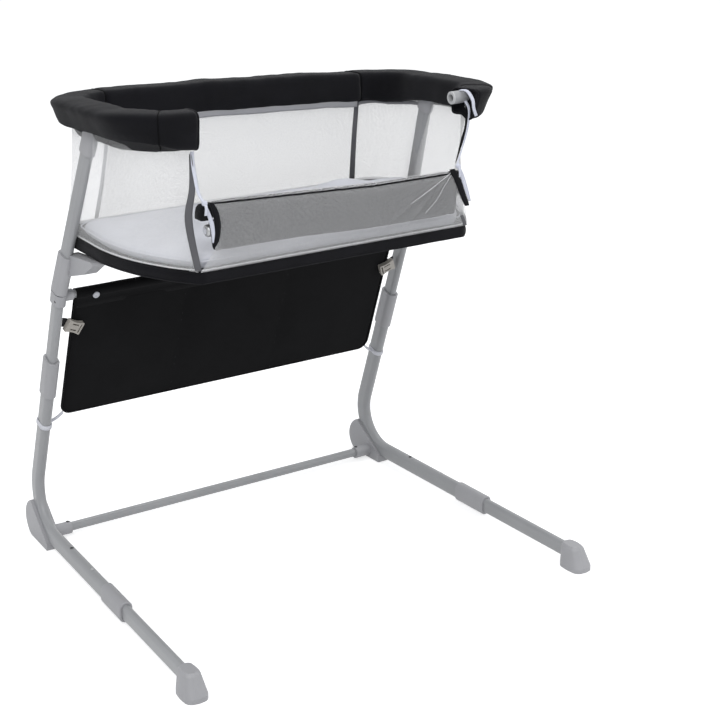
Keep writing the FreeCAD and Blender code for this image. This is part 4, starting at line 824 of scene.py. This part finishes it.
def inflate(made):
    """Swells the pad by a short cloth simulation under pressure, held to a limit and to the floor."""
    remesh = made.modifiers.new("even", "REMESH")
    remesh.mode = "VOXEL"
    remesh.voxel_size = MATTRESS_VOXEL
    apply_modifiers(made)
    start = [vertex.co - vertex.normal * MATTRESS_SHRINK for vertex in made.data.vertices]
    for vertex, place in zip(made.data.vertices, start):
        vertex.co = place
    cloth = made.modifiers.new("swell", "CLOTH")
    cloth.settings.use_pressure = True
    cloth.settings.uniform_pressure_force = 4
    cloth.settings.effector_weights.gravity = 0
    scene = bpy.context.scene
    for step in range(1, 21):
        scene.frame_set(step)
    apply_modifiers(made)
    scene.frame_set(1)
    for vertex, place in zip(made.data.vertices, start):
        move = vertex.co - place
        if move.length > SWELL_LIMIT:
            vertex.co = place + move.normalized() * SWELL_LIMIT
        vertex.co.z = max(vertex.co.z, MATTRESS_LOW)
    made.modifiers.new("finer", "SUBSURF").levels = 1
    apply_modifiers(made)
    for polygon in made.data.polygons:
        polygon.use_smooth = True


mattress_pad()
edge = []
for x, y, _ in floor_loop(0.011, MATTRESS_GAP + 0.0005):
    spot = mattress_spot(x, y)
    edge.append(at(spot.x, -spot.y, (MATTRESS_LOW + MATTRESS_HIGH) / 2 + 0.006))
tube_along("mattress_piping", edge, 0.0014, "mattress_fabric", "mattress_body", 8, True)

# ---------------- drop rail, panel and zips


def rail_drape(x, z):
    """The rail's cloth stands higher at its left end and hangs lower to the right."""
    half = RAIL_HEIGHT / 2
    if z > RAIL_LEVEL:
        return z + RAIL_RISE * max(0.0, 0.08 - x) / 0.34 * min(1.0, (z - RAIL_LEVEL) / half)
    low = RAIL_LEVEL - half
    share = (RAIL_LEVEL - z) / half if z > low else (z - BAND_HIGH) / (low - BAND_HIGH)
    return z - RAIL_HANG * smooth_step(x, -0.15, 0.12) * max(0.0, share)


def rail_sleeve():
    """The padded rail cover, its ends pinched by a binding."""
    points, uv = [], []
    steps = 84
    for share in shares(steps):
        x = (2 * share - 1) * RAIL_HALF
        near_end = min(share, 1 - share) * 2 * RAIL_HALF
        pinch = exp(-((near_end - 0.012) / 0.003) ** 2) * 0.003
        for k in range(SECTION_POINTS):
            across, high = section_point(k, RAIL_THICK - 0.001 - pinch, RAIL_HEIGHT - pinch, 3.2)
            fold = ripple(x * 14, high * 18, across * 30 + 9, 0.0012)
            across += copysign(fold, across) if abs(across) > 0.004 else 0.0
            points.append(at(x, RAIL_DEPTH - across, rail_drape(x, RAIL_LEVEL + high)))
            uv.append((x, k * 0.004))
    made = piece("rail_sleeve", points, closed_faces(steps + 1, SECTION_POINTS), body="rail", uv=uv)
    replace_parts(made, "rail_cover")


rail_sleeve()

PANEL_EDGE = {
    -1: [(0.789, 0.265), (0.772, 0.257), (0.752, 0.254), (0.735, 0.254), (0.722, 0.256), (0.712, 0.262),
         (0.69, 0.272), (0.667, 0.287)],
    1: [(0.787, 0.232), (0.78, 0.236), (0.753, 0.253), (0.74, 0.258), (0.722, 0.267), (0.708, 0.275),
        (0.69, 0.281), (0.667, 0.289)],
}
PANEL_CREASES = ((0.105, 1.75, 0.009, 0.0042), (0.155, 1.05, 0.007, 0.0034), (-0.155, -1.3, 0.009, 0.0012))
HOOD_REACH = {-1: (0.288, 0.012), 1: (0.2744, 0.0)}


def panel_edge(side, z):
    """Half width of the dropped net at a height."""
    corners = PANEL_EDGE[side]
    for (high, near), (low, far) in zip(corners, corners[1:]):
        if low <= z <= high:
            return near + (far - near) * (high - z) / (high - low)
    return corners[-1][1]


def panel_place(share, z):
    """Where a share of the dropped net's width lies, after its cloth is draped: x and height."""
    z = rail_drape((2 * share - 1) * PANEL_HALF, z)
    left, right = -panel_edge(-1, z), panel_edge(1, z)
    return left + (right - left) * share, z


def panel_profile():
    """The dropped panel's side view: over the rail, down its outer face, in to the band."""
    top = RAIL_LEVEL + RAIL_HEIGHT / 2 + 0.0012
    bottom = RAIL_LEVEL - RAIL_HEIGHT / 2
    return [
        (RAIL_DEPTH - 0.008, top), (RAIL_DEPTH + 0.004, top + 0.0006), (FACE - 0.003, top - 0.003),
        (FACE, top - 0.01), (FACE, RAIL_LEVEL), (FACE, bottom + 0.008), (FACE - 0.001, bottom),
        (FACE - 0.004, bottom - 0.008), (FLOOR_FRONT + 0.0065, BAND_HIGH + 0.012),
        (FLOOR_FRONT + 0.003, BAND_HIGH - 0.001),
    ]


def along_profile(profile, share):
    """The point at a share of the profile's length."""
    index, t = find_share([dist(a, b) for a, b in zip(profile, profile[1:])], share)
    return line(profile[index], profile[index + 1])[0](t)


profile = panel_profile()
panel_length = sum(dist(a, b) for a, b in zip(profile, profile[1:]))
points, uv = [], []
columns, rows = 110, 46
for across in shares(columns):
    for share in shares(rows):
        depth, z = along_profile(profile, share)
        x, z = panel_place(across, z)
        crease = sum(max(0.0, 1 - abs(x - foot - (z - 0.7) * slope) / wide) * high
                     for foot, slope, wide, high in PANEL_CREASES)
        belly = sin(pi * share)
        wave = ripple(x * 17, z * 26, 1.0, 0.0012) * belly
        points.append(at(x, depth + crease * belly + abs(wave), z))
        uv.append((x, share * panel_length))
panel = piece("front_net", points, grid_faces(columns + 1, rows + 1), "mesh", None, uv)
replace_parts(panel, "front_panel")
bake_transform(panel)
piping = []
for share in shares(60):
    x, z = panel_place(share, profile[2][1])
    piping.append(at(x, profile[2][0], z + 0.0012))
tube_along("panel_piping", piping, 0.0016, body="rail", sides=8)


def hood(name, side):
    """The end of the rail cover: a flap that arches over the plug and its button."""
    points, uv = [], []
    arch = 18
    reach, rise = HOOD_REACH[side]
    rows = [(0.2535, 1.0), (0.262, 1.0), (reach - 0.0055, 0.98), (reach - 0.0017, 0.9), (reach, 0.78)]
    foot, crown = 0.01 + rise, RAIL_HEIGHT / 2 - 0.0008 + rise
    for x, scale in rows:
        for k in range(arch + 1):
            angle = pi * k / arch
            across = squared(cos(angle), 0.5) * (RAIL_THICK / 2 - 0.0006) * scale
            z = foot + (crown * scale - foot) * sin(angle) ** 0.5
            points.append(at(side * x, RAIL_DEPTH - across, RAIL_LEVEL + z))
            uv.append((x, k * 0.004))
    end = tuple(range(len(points) - arch - 1, len(points)))
    faces = grid_faces(len(rows), arch + 1, flip=side < 0) + [end if side > 0 else end[::-1]]
    thicken(piece("rail_hood_" + name, points, faces, body="rail", uv=uv), 0.0014)


def front_ribbon(name, points, widths, across, look, body=CARRIAGE, thick=0.0014):
    """A tape at the dropped side, drawn through a few places and tapered along its length."""
    centre = spline_points([at(x, depth, z) for x, depth, z in points], 8)
    ribbon(name, centre, across, widths, look, body, thick)


for name, side in SIDES.items():
    hood(name, side)

# Tapes on the rail's outer face: x and height of the places they pass, and their widths there.
END_BINDING = {
    -1: (((-0.271, 0.79), (-0.263, 0.773), (-0.259, 0.752), (-0.2595, 0.735), (-0.2615, 0.722), (-0.266, 0.712)),
         (0.007, 0.011, 0.0115, 0.0115, 0.01, 0.006)),
    1: (((0.24, 0.783), (0.249, 0.768), (0.259, 0.75), (0.267, 0.732), (0.274, 0.718), (0.279, 0.708)),
        (0.011, 0.013, 0.013, 0.013, 0.012, 0.009)),
}
LOWER_ZIP = {
    -1: (((-0.2835, 0.7905), (-0.2765, 0.772), (-0.27, 0.752), (-0.2675, 0.735), (-0.268, 0.719)),
         (0.003, 0.0065, 0.0075, 0.006, 0.002)),
    1: (((0.254, 0.787), (0.2615, 0.773), (0.2685, 0.757), (0.277, 0.736), (0.285, 0.716)),
        (0.006, 0.0095, 0.01, 0.009, 0.005)),
}
FOLDS = (
    ((0.2326, 0.7745), (0.2123, 0.764), (0.1943, 0.7535), (0.1496, 0.7312)),
    ((0.2352, 0.77), (0.2199, 0.7501), (0.2046, 0.7292), (0.1802, 0.7078)),
)


def on_face(places, gap):
    return [(x, FACE + gap, z) for x, z in places]


for name, side in SIDES.items():
    places, widths = END_BINDING[side]
    front_ribbon("panel_end_" + name, on_face(places, 0.0012), widths, (1, 0, 0), "black_fabric", "rail", 0.0022)
    places, widths = LOWER_ZIP[side]
    front_ribbon("zip_lower_" + name, on_face(places, 0.0012), widths, (1, 0.25 * side, 0.1), "zip_tape", "rail")
for number, places in enumerate(FOLDS):
    front_ribbon("panel_fold_%d" % (number + 1), on_face(places, 0.003), (0.007, 0.005, 0.0045, 0.002),
                 (0.8, -0.2, 1), "fold_mesh", "rail", 0.0008)

# Tapes that stay up with the walls: places, widths, direction of the width, look.
WALL_TAPES = {
    "zip_upper_left": (
        [(-0.273, 0.455, 0.866), (-0.275, 0.462, 0.844), (-0.28, 0.478, 0.826), (-0.2835, 0.492, 0.808),
         (-0.285, 0.507, 0.797), (-0.284, 0.5155, 0.7915)],
        (0.009, 0.01, 0.009, 0.007, 0.006), (-1, -0.5, 0.1), "zip_tape"),
    "zip_upper_right": (
        [(0.306, 0.462, 0.896), (0.311, 0.47, 0.878), (0.3065, 0.473, 0.845), (0.291, 0.48, 0.812),
         (0.263, 0.503, 0.791), (0.253, 0.5155, 0.788)],
        0.0055, (1, 0.1, 0.5), "zip_tape"),
    "zip_loop_right": (
        [(0.297, 0.4575, 0.915), (0.3, 0.469, 0.9165), (0.304, 0.476, 0.912), (0.3065, 0.485, 0.9),
         (0.3075, 0.488, 0.885), (0.314, 0.488, 0.87)],
        (0.0045, 0.006, 0.0065, 0.006, 0.006), (1, -0.2, 0.3), "zip_tape"),
    "wall_edge_right": (
        [(0.315, 0.4575, 0.885), (0.315, 0.4585, 0.849), (0.3015, 0.4665, 0.826), (0.282, 0.4815, 0.805),
         (0.26, 0.5005, 0.79)],
        (0.008, 0.01, 0.012, 0.008, 0.002), (1, 0.3, 0.4), "black_fabric"),
    "front_seam_left": (
        [(-0.277, 0.4565, 0.862), (-0.2825, 0.4715, 0.807), (-0.2955, 0.4815, 0.753), (-0.2905, 0.5045, 0.67)],
        (0.004, 0.011, 0.014, 0.012), (-0.7, 0.7, 0), "strip"),
    "front_seam_right": (
        [(0.266, 0.5125, 0.697), (0.274, 0.5118, 0.682), (0.2825, 0.508, 0.6675)],
        (0.006, 0.008), (1, 0, 0), "strip"),
}
for name, tape in WALL_TAPES.items():
    front_ribbon(name, *tape)

# ---------------- storage bag, ties and straps


def bag_front(x, climb):
    """How far the bag's front face stands forward of its back at a point."""
    for left, right in zip(BAG_SEAMS, BAG_SEAMS[1:]):
        if left <= x <= right:
            share = (x - left) / (right - left)
    swell = sin(pi * share) ** 0.7
    height = (climb - BAG_LOW) / (BAG_HEM - BAG_LOW)
    sag = sin(pi * min(1.0, height * 0.85)) * 0.8 + 0.15
    return 0.0018 + (0.0062 * sag + ripple(x * 11, climb * 9, 3.3, 0.0022)) * swell


def bag_half_at(climb):
    """The bag's half width, its lower corners rounded."""
    rise = climb - BAG_LOW
    if rise >= BAG_CORNER:
        return BAG_HALF
    return BAG_HALF - BAG_CORNER + sqrt(max(0.0, BAG_CORNER ** 2 - (BAG_CORNER - rise) ** 2))


def bag_body():
    columns, rows = 110, 40
    points, uv = [], []
    for back in (False, True):
        for share in shares(rows):
            climb = BAG_LOW + 0.0004 + (BAG_HEM - BAG_LOW) * share ** 1.4
            half = bag_half_at(climb) - 0.001
            for across in shares(columns):
                x = (2 * across - 1) * half
                edge = min(1.0, (half - abs(x)) / 0.006)
                points.append(bag_point(x, climb, 0.0012 * edge if back else -bag_front(x, climb) * edge))
                uv.append((x, climb))
    size = (columns + 1) * (rows + 1)
    faces = grid_faces(rows + 1, columns + 1, flip=True)
    faces += [tuple(size + index for index in reversed(face)) for face in faces]
    made = piece("bag_cloth", points, faces, "bag_fabric", uv=uv)
    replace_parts(made, "storage_bag")


def bag_hem():
    """The hem folded over the upper crossbar and stitched below it."""
    radius = 0.0096
    path = [(-0.0034, BAG_HEM - 0.006), (-0.0036, BAG_HEM + 0.006)]
    for share in shares(24):
        angle = radians(250 - 320 * share)
        path.append((radius * cos(angle), HANGER_AT + radius * sin(angle)))
    path += [(0.003, BAG_HEM + 0.006), (0.0028, BAG_HEM - 0.006)]
    columns = 90
    points, uv = [], []
    for share in shares(columns):
        x = (2 * share - 1) * BAG_HALF
        for k, (rear, climb) in enumerate(path):
            wave = ripple(x * 20, climb * 60, rear * 80, 0.0008)
            points.append(bag_point(x, climb + wave, rear + copysign(abs(wave), rear)))
            uv.append((x, k * 0.003))
    thicken(piece("bag_hem", points, grid_faces(columns + 1, len(path)), "bag_fabric", uv=uv), 0.0014)


def bag_edge():
    """Binding down both sides and round the lower corners."""
    corner_x, corner_up = BAG_HALF - BAG_CORNER, BAG_LOW + BAG_CORNER
    corners = [(BAG_HALF, BAG_HEM - (BAG_HEM - corner_up) * share) for share in shares(21)]
    for share in shares(12)[1:-1]:
        angle = radians(-90 * share)
        corners.append((corner_x + BAG_CORNER * cos(angle), corner_up + BAG_CORNER * sin(angle)))
    corners += [(corner_x * (1 - share), BAG_LOW) for share in shares(60)[:-1]]
    full = corners + [(-x, climb) for x, climb in reversed(corners[:-1])]
    return [bag_point(x, climb, -0.0012) for x, climb in full]


def stitches(name, path, length=0.0035, gap=0.0022, radius=0.00035):
    """Short raised thread stitches along a path of points."""
    points, faces = [], []
    walked = 0.0
    next_start = 0.0
    for a, b in zip(path, path[1:]):
        span = (b - a).length
        while next_start + length < walked + span:
            if next_start >= walked:
                first = a.lerp(b, (next_start - walked) / span)
                last = a.lerp(b, (next_start + length - walked) / span)
                side = (last - first).normalized().cross(Vector((0, 1, 0))).normalized() * radius * 1.6
                middle = first.lerp(last, 0.5) + Vector((0, -radius * 2, 0))
                base = len(points)
                points += [first - side, first + side, middle + side, middle - side, last - side, last + side]
                faces += [(base, base + 1, base + 2, base + 3), (base + 3, base + 2, base + 5, base + 4)]
            next_start += length + gap
        walked += span
    piece(name, points, faces, "webbing")


bag_body()
bag_hem()
tube_along("bag_binding", bag_edge(), 0.0024, "bag_fabric", sides=8)
for index, seam in enumerate(BAG_SEAMS[1:-1]):
    stitches("bag_seam_%d" % (index + 1),
             [bag_point(seam, BAG_LOW + 0.004 + 0.25 * share, -0.0034) for share in shares(60)])
stitches("bag_hem_stitch", [bag_point((BAG_HALF - 0.004) * (2 * share - 1), BAG_HEM - 0.002, -0.0048)
                            for share in shares(200)])

STUD = [(0.0068, -0.001), (0.007, 0.0008), (0.0062, 0.002), (0.0046, 0.0024), (0.004, 0.0014),
        (0.0022, 0.0012), (0.0004, 0.0013)]
for name, side in SIDES.items():
    turned("press_stud_" + name, bag_point(side * 0.323, STUD_CLIMB, -0.0098),
           (0, -cos(LEAN), -sin(LEAN)), STUD, "stud_metal")


def tie(name, side):
    """A white elastic band round the leg and its strand to the bag's corner."""
    steps = 44
    points, uv = [], []
    inner_long, inner_short = 0.0175, 0.01
    rows = ((0.0004, 0.0), (0.0016, 0.0006), (0.0019, 0.005), (0.0016, 0.0094), (0.0004, 0.01))
    for index in range(steps):
        angle = 2 * pi * index / steps
        for grow, rise in rows:
            x = cos(angle) * (inner_short + grow)
            straight = copysign(inner_long - inner_short, sin(angle))
            y = sin(angle) * (inner_short + grow) + straight
            points.append(bag_point(side * LEG_HALF + x, TIE_CLIMB + rise, y))
            uv.append((index * 0.003, rise))
    band = piece("tie_band_" + name, points, grid_faces(steps, len(rows), wrap_rows=True), "elastic", uv=uv)
    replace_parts(thicken(band, 0.0006), "leg_tie_" + name)
    start = bag_point(side * (LEG_HALF - 0.0112), TIE_CLIMB + 0.005)
    end = bag_point(side * (BAG_HALF - 0.004), BAG_LOW + 0.004, -0.002)
    strand = spline_points([start, start.lerp(end, 0.5) - UPRIGHT * 0.002, end], 10)
    ribbon("tie_strand_" + name, strand, (0, 0.5, 1), 0.0065, "elastic", thick=0.0014)


def webbing_tab(name, side):
    """The webbing tab between the bag's side edge and the upright, sewn at the bag."""
    near, far = BAG_HALF - 0.006, LEG_HALF - 0.014
    centre = [bag_point(side * (near + (far - near) * t), WEBBING_CLIMB + 0.006 * t, 0.0012 * sin(9 * t))
              for t in shares(12)]
    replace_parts(ribbon("webbing_" + name, centre, BAG_UP, 0.02, "webbing", thick=0.0016), "strap_" + name)


for name, side in SIDES.items():
    tie(name, side)
    webbing_tab(name, side)

# ---------------- small fasteners

SLIDERS = {-1: (-0.284, FACE + 0.0015, 0.791), 1: (0.2535, FACE + 0.0015, 0.7875)}
SCREW = [(0.0036, -0.002), (0.0036, 0.0004), (0.003, 0.001), (0.0016, 0.0011), (0.0014, 0.0002), (0.0003, 0.0)]
SLIDER = [(0.003, -0.0035), (0.0048, -0.002), (0.005, 0.0), (0.0046, 0.0024), (0.0026, 0.0038)]
PLUG_RING = [(0.0038, -0.0004), (0.0058, -0.0004), (0.0058, 0.0003), (0.0052, 0.0007), (0.0044, 0.0007),
             (0.0038, 0.0003)]
PLUG_CENTRE = [(0.0026, -0.0004), (0.0026, 0.0003), (0.0018, 0.0007), (0.0003, 0.0008)]

for name, side in SIDES.items():
    outer = bag_point(side * (LEG_HALF + 0.0098), STUD_CLIMB, -0.009)
    turned("fitting_screw_" + name, outer, (side, 0, 0), SCREW, "dark_plastic")
    turned("foot_screw_" + name, at(side * 0.352, 0.066, 0.0297), UPRIGHT, SCREW, "dark_plastic", "base")
    slider = at(*SLIDERS[side])
    turned("zip_slider_" + name, slider, (0, -1, 0.2), SLIDER, "zip_tape", "rail", 16)
    pull = spline_points([slider + Vector(step) for step in
                          ((0, -0.003, -0.001), (0, -0.006, -0.008), (side * 0.001, -0.006, -0.02))], 6)
    ribbon("zip_pull_" + name, pull, (1, 0, 0), 0.005, "zip_tape", "rail", 0.0014)

for name, side in SIDES.items():
    end = at(side * (RAIL_HALF + 0.02), RAIL_DEPTH, RAIL_LEVEL)
    for part, outline in (("ring", PLUG_RING), ("centre", PLUG_CENTRE)):
        turned("plug_%s_%s" % (part, name), end, (side, 0, 0), outline, "stud_metal", "rail")
    catch, edging = ([at(side * x, FACE - 0.0012 + gap, RAIL_LEVEL + rise) for x, gap, rise in places] for places in (
        ((0.2725, 0.0, 0.0235), (0.262, 0.0008, 0.0255)),
        ((0.2715, -0.0008, 0.0085), (0.266, 0.0, 0.017), (0.2625, 0.0006, 0.0195), (0.259, 0.0006, 0.01))))
    tube_along("catch_pin_" + name, catch, 0.0016, "stud_metal", "rail")
    tube_along("hood_edging_" + name, spline_points(edging, 5), 0.0007, "zip_tape", "rail", 8)

# ---------------- finishes of the CAD pieces

slots = {entry["node"]: entry["material_slot"] for entry in frame["record"]["subparts"]}
for name, made in frame["nodes"].items():
    made.data.materials.clear()
    made.data.materials.append(looks.get(slots[name], looks["black_fabric"]))

# ---------------- floor, light and camera

REACH = 30.0
stage_mesh = bpy.data.meshes.new("studio_floor")
stage_mesh.from_pydata([(-REACH, -REACH, 0), (REACH, -REACH, 0), (REACH, REACH, 0), (-REACH, REACH, 0)], [],
                       [(0, 1, 2, 3)])
studio = scene_object("studio_floor", stage_mesh)
studio.location.z = -0.0006
pale, tree, shader = new_material("studio_white", (0.83, 0.83, 0.83), 1.0, {"Specular IOR Level": 0.0})
lift = node(tree, "Math", {0: seen_rays(tree), 1: 0.6}, operation="MULTIPLY")
glow = node(tree, "Emission", {"Strength": lift[0]})
join = node(tree, "AddShader", {0: shader.outputs[0], 1: glow[0]})
feed(tree, tree.nodes["Material Output"], {"Surface": join[0]})
stage_mesh.materials.append(pale)

world = bpy.data.worlds.new("studio")
bpy.context.scene.world = world
world.use_nodes = True
tree = world.node_tree
tree.nodes.clear()
light = node(tree, "Background", {"Color": (0.95, 0.97, 1.0, 1), "Strength": 0.52})
white = node(tree, "Background", {"Color": (1, 1, 1, 1)})
choose = node(tree, "MixShader", {0: seen_rays(tree), 1: light[0], 2: white[0]})
node(tree, "OutputWorld", {"Surface": choose[0]})

LAMPS = (
    ("key", (-1.9, -1.9, 2.9), 1.8, 46),
    ("top", (0.6, 0.4, 3.8), 2.6, 40),
    ("fill", (2.8, -2.0, 1.8), 2.0, 16),
)
for name, place, size, power in LAMPS:
    data = bpy.data.lights.new(name, "AREA")
    data.shape = "DISK"
    data.size = size
    data.energy = power
    made = scene_object(name, data)
    made.location = place
    made.rotation_euler = (Vector((0, 0, 0.5)) - Vector(place)).to_track_quat("-Z", "Y").to_euler()

IMAGE = 720
FOCAL = 1651.8
MIDDLE = (340.0, 288.0)
YAW, PITCH, ROLL = radians(34.306), radians(18.33), radians(1.046)
data = bpy.data.cameras.new("camera")
camera = scene_object("camera", data)
bpy.context.scene.camera = camera
data.sensor_width = 36.0
data.lens = FOCAL / IMAGE * data.sensor_width
data.shift_x = (IMAGE / 2 - MIDDLE[0]) / IMAGE
data.shift_y = (MIDDLE[1] - IMAGE / 2) / IMAGE
look_along = Vector((sin(YAW) * cos(PITCH), cos(YAW) * cos(PITCH), -sin(PITCH)))
level = Vector((cos(YAW), -sin(YAW), 0))
rise = level.cross(look_along)
right = level * cos(ROLL) + rise * sin(ROLL)
upward = rise * cos(ROLL) - level * sin(ROLL)
turn = Matrix((right, upward, -look_along)).transposed()
camera.matrix_world = Matrix.Translation(Vector((-1.5995, HEEL - 2.8516, 1.5307))) @ turn.to_4x4()

bpy.context.scene.view_settings.view_transform = "Standard"
